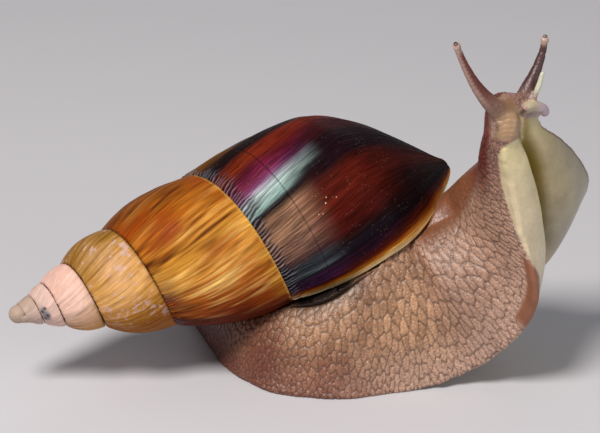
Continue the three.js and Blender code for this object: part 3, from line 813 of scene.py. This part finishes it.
def swollen_shell():
    """The shell's outside, a little larger, for trimming the flesh that would lie in it."""
    whole = np.linspace(0, 2, 60)
    pieces = []
    for start, end in ((3, 4), (4, BODY_START), (BODY_START, LIP_TURN)):
        turns = np.linspace(start, end + 0.004, 60)
        v = whole if start == BODY_START else whole[whole <= 1]
        late = smoothstep(turns, LIP_TURN - LIP_BLEND, LIP_TURN)[:, None] * (start == BODY_START)
        turn = turns[:, None] + late * lead(v)
        radius, height = last_profile(turn, v)
        outer = shell_point(turn, radius + TRIM_GAP, height)
        top = shell_point(turn[:, 0], np.full(len(turns), TRIM_CORE), height[:, 0])
        bottom = shell_point(turn[:, -1], np.full(len(turns), TRIM_CORE), height[:, -1])
        pieces.append(make_mesh("trim", *loft(np.concatenate([top[:, None], outer, bottom[:, None]], 1))))
    trim = join(pieces, "trim")
    face_outward(trim)
    remesh(trim, TRIM_VOXEL, 2)
    return trim


def make_skin(points):
    """One closed skin: body, sole, head, feelers and lappets melted together, clear of the shell."""
    parts = [make_mesh("skin", *loft(points)), tube(MANTLE_PATH, MANTLE_RADII, "mantle_back", 48)]
    crown = station(LAST_STATION)
    parts.append(round_lump(crown["at"] + crown["up"] * 2.4 - [0, 0, 1.6], [3.9, 3.7, 2.4], "crown"))
    for hand, feeler in FEELERS.items():
        parts.append(tube(feeler["path"], FEELER_RADII, "feeler_" + hand))
        parts.append(round_lump(feeler["path"][-1], [KNOB_RADIUS] * 3, "knob_" + hand))
        parts.append(tube(feeler["lower"], LOWER_RADII, "lower_" + hand))
        parts.append(round_lump(feeler["lower"][-1], [LOWER_RADII[-1]] * 3, "tip_" + hand))
        parts.append(tube(feeler["lappet"], feeler["lappet_radii"], "lappet_" + hand))
    parts.append(round_lump(INNER_LAPPET, [2.5, 1.6, 1.9], "inner_lappet"))
    parts.append(round_lump(TAIL_TIP, [2.3, 2.3, 1.9], "tail_tip"))
    for part in parts:
        face_outward(part)
    skin = join(parts, "snail_skin")
    remesh(skin, SKIN_VOXEL, 4)
    trim = swollen_shell()
    cut = skin.modifiers.new("trim", "BOOLEAN")
    cut.operation = "DIFFERENCE"
    cut.solver = "MANIFOLD"
    cut.object = trim
    apply_modifiers(skin)
    bpy.data.objects.remove(trim)
    return skin


# ---- the skin's pattern ----


def nearest_on_grid(points, grid):
    """Ring and column of the body's grid nearest each point, as fractions, and their directions."""
    rows, columns = grid.shape[:2]
    tree = tree_of(grid.reshape(-1, 3))
    found = np.array([tree.find(point)[1] for point in points])
    ring = found // columns
    column = found % columns
    forward = (grid[np.minimum(ring + 1, rows - 1), column] - grid[np.maximum(ring - 1, 0), column]) / 2
    around = (grid[ring, np.minimum(column + 1, columns - 1)] - grid[ring, np.maximum(column - 1, 0)]) / 2
    gap = points - grid[ring, column]
    ff = (forward ** 2).sum(-1) + 1e-9
    aa = (around ** 2).sum(-1) + 1e-9
    fa = (forward * around).sum(-1)
    gf = (gap * forward).sum(-1)
    ga = (gap * around).sum(-1)
    scale = np.maximum(ff * aa - fa ** 2, 1e-6)
    ring = ring + np.clip((gf * aa - ga * fa) / scale, -0.7, 0.7)
    column = column + np.clip((ga * ff - gf * fa) / scale, -0.7, 0.7)
    return ring, column, unit(forward), unit(around)


def tree_of(points):
    """A search tree for the nearest of these points."""
    tree = kdtree.KDTree(len(points))
    for k, point in enumerate(points):
        tree.insert(point, k)
    tree.balance()
    return tree


def distance_to_path(points, path, radii):
    """Gap to a rod's surface, the place along its path, and the direction away from the path."""
    path = np.array(path, float)
    t = np.linspace(0, 1, 24)
    line = np.stack([smooth(path[:, k], t * (len(path) - 1)) for k in range(3)], -1)
    radius = smooth(radii, t * (len(radii) - 1))
    gap = np.linalg.norm(points[:, None] - line[None], axis=-1) - radius
    nearest = gap.argmin(1)
    return gap[np.arange(len(points)), nearest], t[nearest], unit(points - line[nearest])


def scatter_cells(points, up, size, stretch, seed):
    """Indices of points that lie at least a cell apart, cells being stretched along up."""
    order = np.random.default_rng(seed).permutation(len(points))[:CELL_TRIES]
    keys = np.floor(points / float((size * stretch).max())).astype(int)
    shorten = 1 - 1 / stretch ** 2
    beside = list(itertools.product((-1, 0, 1), repeat=3))
    cells = {}
    kept = []

    def crowded(k):
        x, y, z = points[k]
        up_x, up_y, up_z = up[k]
        row, column, level = keys[k]
        for a, b, c in beside:
            for other_x, other_y, other_z in cells.get((row + a, column + b, level + c), ()):
                dx = x - other_x
                dy = y - other_y
                dz = z - other_z
                rise = dx * up_x + dy * up_y + dz * up_z
                if dx * dx + dy * dy + dz * dz - rise * rise * shorten[k] < size[k] ** 2:
                    return True
        return False

    for k in order:
        if not crowded(k):
            cells.setdefault(tuple(keys[k]), []).append(tuple(points[k]))
            kept.append(k)
    return np.array(kept)


def cell_pattern(points, up, size, stretch, seed):
    """Distance to the nearest cell and to its border, in cells, and a random value per cell."""
    kept = scatter_cells(points, up, size, stretch, seed)
    tree = tree_of(points[kept])
    near = np.array([[hit[1] for hit in tree.find_n(point, 8)] for point in points])
    gap = points[:, None] - points[kept][near]
    rise = (gap * up[:, None]).sum(-1)
    shorten = (1 - 1 / stretch ** 2)[:, None]
    length = np.sqrt(np.maximum((gap ** 2).sum(-1) - rise ** 2 * shorten, 0))
    order = length.argsort(1)
    rows = np.arange(len(points))
    first = length[rows, order[:, 0]]
    second = length[rows, order[:, 1]]
    chance = np.random.default_rng(seed + 1).random(len(kept))[near[rows, order[:, 0]]]
    return first / size, (second - first) / size, chance


def neighbours(piece):
    """Both ends of every edge, each way round, and how many edges meet at each point."""
    ends = np.empty(len(piece.data.edges) * 2, np.int32)
    piece.data.edges.foreach_get("vertices", ends)
    a, b = ends.reshape(-1, 2).T
    here = np.append(a, b)
    there = np.append(b, a)
    return here, there, np.maximum(np.bincount(here, minlength=len(piece.data.vertices)), 1)


def soften(links, values, share, passes):
    """Values moved towards the mean of their neighbours where share is high."""
    here, there, count = links
    for _ in range(passes):
        values = values + 0.6 * share * (np.bincount(here, values[there], len(count)) / count - values)
    return values


# Where the pale sole begins on the right of the raised front: stations and places round the body.
SOLE_EDGE = np.array([
    [0, 1.05], [7.0, 1.06], [7.26, 1.2], [7.51, 1.04], [7.83, 0.995], [8.21, 0.94], [8.65, 0.885],
    [9.31, 0.925], [9.7, 1.0], [10.2, 1.2], [12, 1.3],
])
CROWN = np.array([51.2, -27.4, 80.6])
MOUTH = np.array([54.7, -26.6, 79.4])
STUB = np.array([47.9, -29.6, 80.7])
LAPPET_FOLD = np.array([57.9, -24, 78.6])
UNDERSIDE = np.array([-0.55, -0.5, -0.67])  # the paler side of the feelers
# the hollow is also painted dark with shadow
HOLLOW_DEPTH = 4.2  # of the dark hollow where the body goes in the shell
CELL_TRIES = 80000


def skin_regions(points, grid, stations, places):
    """Where every point of the skin lies: station, place round the body, and shares of each region."""
    ring, column, forward, around = nearest_on_grid(points, grid)
    s = np.interp(ring, np.arange(len(stations)), stations)
    w = np.interp(column, np.arange(len(places)), places)
    right = smooth(STATIONS[:, 5], s) - 0.5
    left = smooth(STATIONS[:, 6], s) - 0.5
    x = right - (right + left) * (w - 1.04) / 1.92
    far = smoothstep(-x, 0.0, 1.2)
    edge = np.interp(s, SOLE_EDGE[:, 0], SOLE_EDGE[:, 1])
    top = 10.0 - 0.3 * np.clip((w - 1.35) / 0.45, -1, 1) ** 2
    top = top * (1 - far) + 10.55 * far
    sole = smoothstep(w - edge, -0.012, 0.018) * fade(w, 2.93, 2.97) * fade(s - top, -0.06, 0.06)
    feeler, reach, lower, below = np.zeros((4, len(points)))
    for parts in FEELERS.values():
        gap, t, away = distance_to_path(points, parts["path"], FEELER_RADII)
        share = fade(gap, 0.2, 1.1) * smoothstep(t, 0.05, 0.35)
        reach = np.where(share > feeler, t, reach)
        below = np.where(share > feeler, away @ UNDERSIDE, below)
        feeler = np.maximum(feeler, share)
        gap, t, _ = distance_to_path(points, parts["lower"], LOWER_RADII)
        share = fade(gap, 0.1, 0.5) * smoothstep(t, 0.35, 0.6)
        lower = np.maximum(lower, share * (parts is FEELERS["left"]))
    gap, t, _ = distance_to_path(points, FEELERS["left"]["lappet"], FEELERS["left"]["lappet_radii"])
    lappet = fade(gap, 0.1, 0.5) * smoothstep(t, 0.02, 0.2)
    front = smoothstep(w, 0.66, 0.8) * fade(w, 2.03, 2.1) * smoothstep(s, 9.9, 10.1)
    front = np.maximum(front, smoothstep(s, 11.5, 11.8) * smoothstep(-points[:, 1], 25.5, 27))
    lengthwise = smoothstep(s, 8.6, 9.5)[:, None]
    return {
        "s": s, "w": w, "x": x, "far": far, "sole": sole, "height": np.clip(1 - np.abs(w), 0, 1),
        "raised": smoothstep(s, 6.7, 7.4), "up": unit(around * (1 - lengthwise) + forward * lengthwise),
        "feeler": feeler, "reach": reach, "lower": lower, "below": below, "lappet": lappet,
        "face": front * (1 - feeler) * (1 - lappet) * (1 - lower) * (1 - sole),
    }


SIDE_COLOUR = 0x8c6444
SIDE_LIGHT = 0xbc906e
FRONT_COLOUR = 0xa88474
UNDER_LIP = 0x8a6248
TAIL_COLOUR = 0x68301f
MARGIN_COLOUR = 0x7c4c40
MARGIN_PAINTED_LIGHT = 0xc09c8a
SMOOTH_BROWN = 0x80492a
NECK_BACK = 0x6c2c20
NECK_SIDE = 0x8c665c
FACE_COLOUR = 0xa38262
CROWN_BROWN = 0x8c664c
FACE_ROSE = 0xa88a7e
SOLE_NEAR = 0xcfc090
SOLE_PALE = 0xd4c2a0
SOLE_FAR = 0xad9d78
SOLE_SHADE = 0x8e8676
SOLE_FLOOR = 0xb7a687
OLIVE_AND_SHADE = 0x8c7628
CREST = 0xdac470
EDGE_BROWN = 0x4c2c20
GROOVE_SHADE = 0x452a20
SHADOW = 0x170b09
FEELER_DARK = 0x6a2f24
FEELER_BASE = 0x8c6858
FAR_FEELER_SHADE = 0x442828
FEELER_PALE = 0xb9988c
KNOB_PALE = 0xc2a596
LOWER_PALE = 0xc9cbb4
LAPPET_WHITE = 0xb4a689
LAPPET_LILAC = 0xb8a2ac
MOUTH_SHADE = 0x3f3312
STUB_BROWN = 0x6d4e38
FOLD_SHADE = 0x9c8e8c


def face_lines(x, z):
    """The wave of the wrinkles that run round the face."""
    return np.sin(2 * np.pi * ((z + 0.09 * (x - 51.5) ** 2) / 1.15 + 0.25 * noise(51, x / 2, z / 2)))


def skin_relief(points, r, border, edge, chance, size):
    """Height of tubercles, wrinkles and folds over the smooth skin, in millimetres."""
    x, y, z = points.T
    deep = 0.19 + 0.1 * fade(r["height"], 0.02, 0.2)
    relief = deep * smoothstep(edge, 0.0, 0.4) + 0.06 * (1 - border) + 0.07 * (chance - 0.5) - 0.17
    relief = relief * r["rough"] * size
    wrinkled = face_lines(x, z) * r["face"] * fade(z, 80.5, 82)
    relief += (0.035 + 0.04 * noise(52, x / 1.6, y / 1.6, z / 0.9)) * wrinkled
    angle = np.arctan2(z - CROWN[2], x - CROWN[0])
    brow = smoothstep(z, 81.4, 82.6) * smoothstep(r["s"], 11.0, 11.4) * (1 - r["feeler"]) * (1 - r["lappet"])
    relief += 0.025 * brow * np.sin(angle * 26 + noise(53, x / 2, z / 2))
    relief -= 0.75 * spot_at(points, MOUTH, 0.75, [1.2, 0.6, 0.7])
    relief -= 0.25 * spot_at(points, STUB, 0.55)
    relief += r["sole"] * r["raised"] * 0.1 * noise(54, x / 5, y / 5, z / 5)
    relief += 0.03 * r["feeler"] * noise(57, r["reach"] * 16, x / 1.5) * fade(r["reach"], 0.85, 1)
    return relief - HOLLOW_DEPTH * r["hollow"]


def skin_colour(points, r, edge, chance):
    """Colour of the skin from its regions and its tubercles, with painted shade in the grooves, the mouth,
    the hollow under the lip, under the left lappet and on the far feeler, and painted light on the lower
    margin near the floor.
    """
    x, y, z = points.T
    s, height, reach = r["s"], r["height"], r["reach"]
    cloud = noise(61, x / 9, y / 9, z / 9)
    light = np.clip(0.5 + 0.7 * (chance - 0.5) + 0.35 * cloud + 0.2 * noise(62, x / 2, y / 2, z / 2), 0, 1)
    sole = sole_colour(points, r)
    # the lower margin: its own darker brown at the tail, lightened from station 3 forward with painted light
    # near the floor
    margin = mix(MARGIN_COLOUR, MARGIN_PAINTED_LIGHT, smoothstep(s, 3.0, 4.2))
    face = mix(FACE_COLOUR, FACE_ROSE, np.clip(smoothstep(np.abs(x - 51), 2.0, 4.0) + 0.4 * cloud, 0, 1))
    # lighter on the wrinkles' crests and darker in their troughs: painted light and shade
    face = face * (1 + 0.07 * face_lines(x, z))[..., None]
    ridge = bump(r["x"], 0, 0.45) * smoothstep(s, 9.7, 9.9) * fade(s, 10.7, 10.9)
    # painted shade in the hollow under the left lappet
    fold = spot_at(points, LAPPET_FOLD, 1.5, [0.6, 0.6, 1]) * (1 - r["lappet"])
    feeler = paint(
        mix(FEELER_DARK, FEELER_PALE, 0.8 * smoothstep(r["below"], 0.25, 0.85)),
        (FEELER_BASE, 0.8 * fade(reach, 0.2, 0.45)),
        # painted shade on the far, left feeler
        (FAR_FEELER_SHADE, 0.9 * smoothstep(x, 52.5, 54.5)),
        (KNOB_PALE, 0.85 * smoothstep(reach, 0.86, 1.0)),
    )
    colour = paint(
        mix(SIDE_COLOUR, SIDE_LIGHT, light),
        (FRONT_COLOUR, 0.7 * smoothstep(s, 4.2, 6.2)),
        (UNDER_LIP, 0.75 * smoothstep(height, 0.32, 0.6) * fade(s, 4.6, 6.0)),
        (margin, 0.7 * fade(height, 0.02, 0.24)),
        (TAIL_COLOUR, 0.9 * fade(s + 0.5 * cloud, 1.6, 3.9)),
        (NECK_SIDE, 0.8 * smoothstep(s, 8.0, 9.0)),
        (SMOOTH_BROWN, 0.9 * smoothstep(height, 0.64, 0.9) * smoothstep(s, 5.6, 6.4)),
        (NECK_BACK, 0.95 * smoothstep(height, 0.24, 0.42) * smoothstep(s, 7.9, 8.9)),
        (SMOOTH_BROWN, 0.9 * r["strip"]),
        # painted shade in the grooves between the tubercles
        (GROOVE_SHADE, 0.68 * fade(edge, 0.02, 0.28) * r["rough"]),
        (SHADOW, np.clip(r["hollow"] * 2, 0, 1)),
        (sole, r["sole"]),
        (mix(face, CROWN_BROWN, 0.9 * smoothstep(z, 80.8, 82.6)), r["face"]),
        (CREST, 0.8 * ridge),
        # painted shade in the mouth's notch
        (MOUTH_SHADE, 0.9 * spot_at(points, MOUTH, 0.6, [1.3, 0.5, 0.7])),
        (STUB_BROWN, 0.7 * spot_at(points, STUB, 0.6)),
        (mix(LAPPET_WHITE, LAPPET_LILAC, smoothstep(x, 57.5, 60.5)), 0.95 * r["lappet"]),
        (FOLD_SHADE, 0.85 * fold),
        (feeler, r["feeler"]),
        (LOWER_PALE, 0.9 * r["lower"]),
    )
    return np.clip(colour, 0.001, 1)


def sole_colour(points, r):
    """Colour of the sole: two pale lobes with an olive groove and a yellow crest between them; the far lobe
    and the groove carry painted shade.
    """
    x, y, z = points.T
    s, far = r["s"], r["far"]
    # painted shade on the far lobe's outer part and lower down
    shaded = np.maximum(0.7 * smoothstep(-r["x"], 8, 17), 0.7 * fade(s, 7.4, 8.4))
    centre = 2.9 * fade(s, 8.8, 9.8)
    inside = smoothstep(centre - r["x"], 0.3, 1.2) * fade(-r["x"], 0.8, 4.2)
    pale = paint(
        mix(SOLE_PALE, SOLE_NEAR, smoothstep(s, 8.0, 9.8)),
        (SOLE_FAR, far),
        (SOLE_NEAR, 0.4 * smoothstep(s, 9.2, 10.2) * far),
        (SOLE_SHADE, far * shaded),
        # olive in the groove between the lobes, its darkness partly painted shade deep in the groove
        (OLIVE_AND_SHADE, 0.95 * inside * smoothstep(s, 6.9, 8.3)),
        (CREST, 0.9 * bump(r["x"], centre, 0.75)),
        (EDGE_BROWN, 0.85 * smoothstep(r["w"], 2.87, 2.95)),
    )
    return mix(SOLE_FLOOR, pale, r["raised"]) * (1 + 0.05 * noise(63, x / 3, y / 3, z / 3))[..., None]


def dress_skin(skin, grid, stations, places):
    """Melt the head together, raise tubercles and wrinkles, and colour the skin."""
    points = read_points(skin)
    r = skin_regions(points, grid, stations, places)
    thin = np.maximum(r["feeler"], r["lower"])
    melt = smoothstep(r["s"], 9.4, 10.0) * (1 - thin) * (1 - 0.8 * r["lappet"])
    joined = fade(distance_to_path(points, MANTLE_PATH, MANTLE_RADII)[0], 1, 4)
    melt = np.clip(np.maximum(melt, joined), 0, 1)
    links = neighbours(skin)
    points = np.stack([soften(links, points[:, k], melt, 26) for k in range(3)], -1)
    write_points(skin, points)
    normals = read_normals(skin)
    for key in ("sole", "face", "far", "x", "w"):
        r[key] = soften(links, r[key], 1, 3)
    s, w, height = r["s"], r["w"], r["height"]
    r["strip"] = smoothstep(w, 0.955, 0.97) * (1 - r["sole"]) * smoothstep(s, 6.45, 6.6) * fade(s, 7.5, 7.6)
    r["hollow"] = bump(s, 2.95, 0.45) * bump(w, 0.45, 0.13)
    size = 1.5 - 0.45 * fade(height, 0.02, 0.3) - 0.35 * fade(s, 1.6, 3.2) - 0.4 * smoothstep(s, 7.5, 9)
    size = np.maximum(size - 0.3 * smoothstep(height, 0.35, 0.6), 0.8)
    stretch = 1.6 + 1.0 * smoothstep(s, 2.6, 4.2)
    border, edge, chance = cell_pattern(points, r["up"], size, stretch, 41)
    smoothed = [r["sole"], r["face"], r["lappet"], r["lower"], 0.9 * r["strip"], 0.7 * r["feeler"]]
    bare = np.maximum.reduce(smoothed)
    behind = smoothstep(height, 0.7, 0.92) * smoothstep(s, 5.6, 6.4)
    rough = (1 - bare) * (1 - 0.6 * behind) * (1 - np.clip(2.2 * r["hollow"], 0, 1))
    r["rough"] = np.clip(rough, 0, 1) * (1 - 0.85 * spot_at(points, LIP_CONTACT, 5.5))
    relief = skin_relief(points, r, border, edge, chance, size)
    points = points + normals * relief[:, None]
    points[:, 2] = np.maximum(points[:, 2], 0)
    write_points(skin, points)
    pebbly = r["rough"] + 0.25 * r["face"] + 0.15 * r["feeler"] + 0.25 * behind
    add_layer(skin.data, "shade", skin_colour(points, r, edge, chance))
    add_layer(skin.data, "wet", np.clip(0.3 + 0.7 * r["sole"] - 0.3 * r["feeler"], 0, 1))
    add_layer(skin.data, "pebbly", np.clip(pebbly, 0, 1))
    skin.data.update()


# ---- eyes ----

EYE_SIDES = 32
EYE_BROWN = 0x7a5c4c
EYE_FRONT = 0x1b0f0d


def make_eye(hand):
    """A dark bead with a flatter clear front, set in the knob of its stalk."""
    centre = np.array(FEELERS[hand]["eye"])
    out = unit(centre - np.array(FEELERS[hand]["path"][-1]))
    across = unit(np.cross(out, [0, 0.3, 1]))
    polar = np.linspace(0.08, np.pi - 0.08, 22)
    bulge = EYE_RADIUS * (1 - 0.08 * np.cos(polar) ** 8)
    rings = centre + bulge[:, None, None] * ball(polar, EYE_SIDES, out, across, np.cross(across, out))
    iris = np.repeat(smoothstep(np.cos(polar), 0.75, 0.88), EYE_SIDES)
    eye = make_mesh("eyeball_" + hand, *loft(rings), {"iris": np.append(iris, [1, 0])})
    face_outward(eye)
    return eye


# ---- materials ----


def new_material(name):
    material = bpy.data.materials.new(name)
    material.use_nodes = True
    return material, material.node_tree


def set_inputs(tree, node, inputs):
    """Give a node its inputs: plain values, or the outputs of other nodes."""
    for key, value in inputs.items():
        if isinstance(value, bpy.types.NodeSocket):
            tree.links.new(value, node.inputs[key])
        else:
            node.inputs[key].default_value = value


def set_shader(tree, inputs):
    set_inputs(tree, tree.nodes["Principled BSDF"], inputs)


def add_node(tree, kind, output, inputs, **settings):
    """One output of a new shader node."""
    node = tree.nodes.new("ShaderNode" + kind)
    for key, value in settings.items():
        setattr(node, key, value)
    set_inputs(tree, node, inputs)
    return node.outputs[output]


def rgba(code):
    return *linear(code), 1


def attribute(tree, name, output="Fac"):
    return add_node(tree, "Attribute", output, {}, attribute_name=name, attribute_type="GEOMETRY")


def ranged(tree, value, low, high, start=0.0, end=1.0):
    """A value from start to end brought to low to high."""
    ends = {"From Min": start, "From Max": end, "To Min": low, "To Max": high}
    return add_node(tree, "MapRange", "Result", {"Value": value, **ends})


def varied(tree, colour, value):
    """The colour made darker and lighter by a value round 1."""
    return add_node(tree, "VectorMath", "Vector", {0: colour, "Scale": value}, operation="SCALE")


def product(tree, a, b):
    return add_node(tree, "Math", "Value", {0: a, 1: b}, operation="MULTIPLY")


def blended(tree, kind, factor, a, b):
    return add_node(tree, "Mix", "Result", {"Factor": factor, "A": a, "B": b}, data_type=kind)


def clouds(tree, place, scale, detail):
    inputs = {"Vector": place, "Scale": scale, "Detail": detail, "Roughness": 0.6}
    return add_node(tree, "TexNoise", "Fac", inputs)


def pebbles(tree, place, scale):
    inputs = {"Vector": place, "Scale": scale, "Randomness": 1.0}
    return add_node(tree, "TexVoronoi", "Distance", inputs, feature="F1")


def bumped(tree, *layers):
    """The surface's direction under fine relief: layers of value, height in millimetres and strength."""
    below = {}
    for value, height, strength in layers:
        inputs = {"Distance": height * MM, "Strength": strength, "Height": value, **below}
        below = {"Normal": add_node(tree, "Bump", "Normal", inputs)}
    return below["Normal"]


def shell_material():
    """Glossy shell with fine growth lines that follow its growth."""
    material, tree = new_material("shell_gloss")
    ends = {"X": attribute(tree, "along"), "Y": attribute(tree, "across")}
    place = add_node(tree, "CombineXYZ", "Vector", ends)

    def lines(scale, stretch, detail):
        spread = {"Vector": place, "Scale": (scale, scale * stretch, 1)}
        return clouds(tree, add_node(tree, "Mapping", "Vector", spread), 1.0, detail)

    fine = lines(1.8, 0.06, 2)
    hair = lines(4.6, 0.04, 1)
    dents = lines(0.8, 1.0, 4)
    grit = lines(3.0, 0.8, 2)
    broad_strokes = ranged(tree, fine, 0.62, 1.38, 0.32, 0.68)
    thin_strokes = ranged(tree, hair, 0.72, 1.28, 0.32, 0.68)
    strokes = product(tree, broad_strokes, thin_strokes)
    level = blended(tree, "FLOAT", attribute(tree, "grain"), 1.0, strokes)
    colour = varied(tree, attribute(tree, "shade", "Color"), level)
    specks = ranged(tree, pebbles(tree, place, 1.15), 1, 0, 0.17, 0.27)
    share = product(tree, specks, attribute(tree, "worn"))
    set_shader(tree, {
        "Base Color": blended(tree, "RGBA", share, colour, rgba(SPECK_PALE)),
        "Roughness": ranged(tree, dents, 0.3, 0.5, 0.3, 0.7),
        "Normal": bumped(tree, (fine, 0.16, 0.7), (hair, 0.07, 0.7), (grit, 0.06, 0.4)),
        "Specular IOR Level": 0.05,
        "Specular Tint": (1.0, 0.6, 0.62, 1),
    })
    return material


def skin_material():
    """Moist skin with a pebbled surface finer than its tubercles."""
    material, tree = new_material("moist_skin")
    place = add_node(tree, "TexCoord", "Object", {})
    pebbly = attribute(tree, "pebbly")
    raised = product(tree, ranged(tree, pebbles(tree, place, 1700.0), 1, 0, 0.05, 0.75), pebbly)
    even = ranged(tree, clouds(tree, place, 1100, 2), 0.94, 1.06, 0.3, 0.7)
    level = blended(tree, "FLOAT", pebbly, even, ranged(tree, raised, 0.8, 1.22, 0.1, 0.8))
    colour = varied(tree, attribute(tree, "shade", "Color"), level)
    set_shader(tree, {
        "Base Color": varied(tree, colour, ranged(tree, clouds(tree, place, 110, 3), 0.88, 1.12, 0.3, 0.7)),
        "Roughness": ranged(tree, attribute(tree, "wet"), 0.46, 0.34),
        "Normal": bumped(tree, (raised, 0.13, 0.8), (clouds(tree, place, 1700, 2), 0.05, 0.4)),
        "Subsurface Weight": 0.1,
        "Subsurface Radius": (1.0, 0.45, 0.25),
        "Subsurface Scale": 0.0012,
        "Coat Weight": 0.09,
        "Coat Roughness": 0.22,
    })
    return material


def eye_material():
    """Brown bead with a small dark front."""
    material, tree = new_material("eye_bead")
    colour = blended(tree, "RGBA", attribute(tree, "iris"), rgba(EYE_BROWN), rgba(EYE_FRONT))
    set_shader(tree, {"Base Color": colour, "Roughness": 0.15, "Coat Weight": 0.5})
    return material


# ---- stage ----

VIEW_TILT = math.radians(24)  # how far the camera looks down
VIEW_DISTANCE = 750
VIEW_TARGET = np.array([0, 0, 40])
VIEW_PIXEL = 0.26  # millimetres at the target per pixel of the picture
PICTURE_WIDTH = 600
SENSOR = 36.0
FLOOR_HALF = 3.0  # metres, like the lamps' places and sizes
FLOOR_GREY = 0xcac8cc
SKY_COLOUR = (0.86, 0.87, 0.92, 1)
SKY_STRENGTH = 0.21
LAMP_TARGET = Vector((0, 0, 0.04))
# name, place, size, watts, colour
LAMPS = [
    ("key", (-0.3, -0.5, 0.8), 0.3, 9.8, (1.0, 0.97, 0.93)),
    ("fill", (0.7, -0.5, 0.35), 0.5, 1.6, (0.95, 0.97, 1.0)),
    ("rim", (0.1, 0.7, 0.6), 0.4, 0.5, (1.0, 1.0, 1.0)),
]


def add_camera():
    data = bpy.data.cameras.new("view")
    data.sensor_fit = "HORIZONTAL"
    data.sensor_width = SENSOR
    data.lens = SENSOR * VIEW_DISTANCE / (VIEW_PIXEL * PICTURE_WIDTH)
    data.clip_start = 0.05
    data.clip_end = 20
    camera = add_object("view", data)
    back = np.array([0, -math.cos(VIEW_TILT), math.sin(VIEW_TILT)])
    camera.location = (VIEW_TARGET + back * VIEW_DISTANCE - FOOTPRINT) * MM
    camera.rotation_euler = (math.pi / 2 - VIEW_TILT, 0, 0)
    bpy.context.scene.camera = camera


def add_lamp(name, place, size, power, colour):
    data = bpy.data.lights.new(name, "AREA")
    data.shape = "DISK"
    data.size = size
    data.energy = power
    data.color = colour
    lamp = add_object(name, data)
    lamp.location = place
    lamp.rotation_euler = (LAMP_TARGET - Vector(place)).to_track_quat("-Z", "Y").to_euler()


def add_stage():
    data = bpy.data.meshes.new("floor")
    corners = [(x * FLOOR_HALF, y * FLOOR_HALF, 0) for x, y in ((-1, -1), (1, -1), (1, 1), (-1, 1))]
    data.from_pydata(corners, [], [(0, 1, 2, 3)])
    floor = add_object("floor", data)
    material, tree = new_material("pale_floor")
    set_shader(tree, {"Base Color": rgba(FLOOR_GREY), "Roughness": 0.8})
    data.materials.append(material)
    world = bpy.data.worlds.new("studio")
    world.use_nodes = True
    sky = {"Color": SKY_COLOUR, "Strength": SKY_STRENGTH}
    set_inputs(world.node_tree, world.node_tree.nodes["Background"], sky)
    bpy.context.scene.world = world
    bpy.context.scene.view_settings.view_transform = "Standard"
    for lamp in LAMPS:
        add_lamp(*lamp)


# ---- assembly ----

add_camera()
add_stage()

shell = make_shell()
shell.data.materials.append(shell_material())
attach(shell, "root")
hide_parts("shell_apex", "shell_whorl_3", "shell_whorl_4", "shell_whorl_5", "shell_penultimate_whorl",
            "shell_body_whorl", "shell_lip", "shell_columella")

body_points, body_stations, body_places = body_grid()
skin = make_skin(body_points)
dress_skin(skin, body_points, body_stations, body_places)
skin.data.materials.clear()
skin.data.materials.append(skin_material())
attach(skin, "root")
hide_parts("tail", "trunk", "foot_front", "neck", "head", "mantle_collar", "sole_right", "sole_left",
            "tentacle_upper_right", "tentacle_upper_left", "tentacle_lower_right", "tentacle_lower_left",
            "oral_lappet_right", "oral_lappet_left")

bead = eye_material()
for hand in FEELERS:
    eye = make_eye(hand)
    eye.data.materials.append(bead)
    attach(eye, "root")
    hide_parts("eye_" + hand)
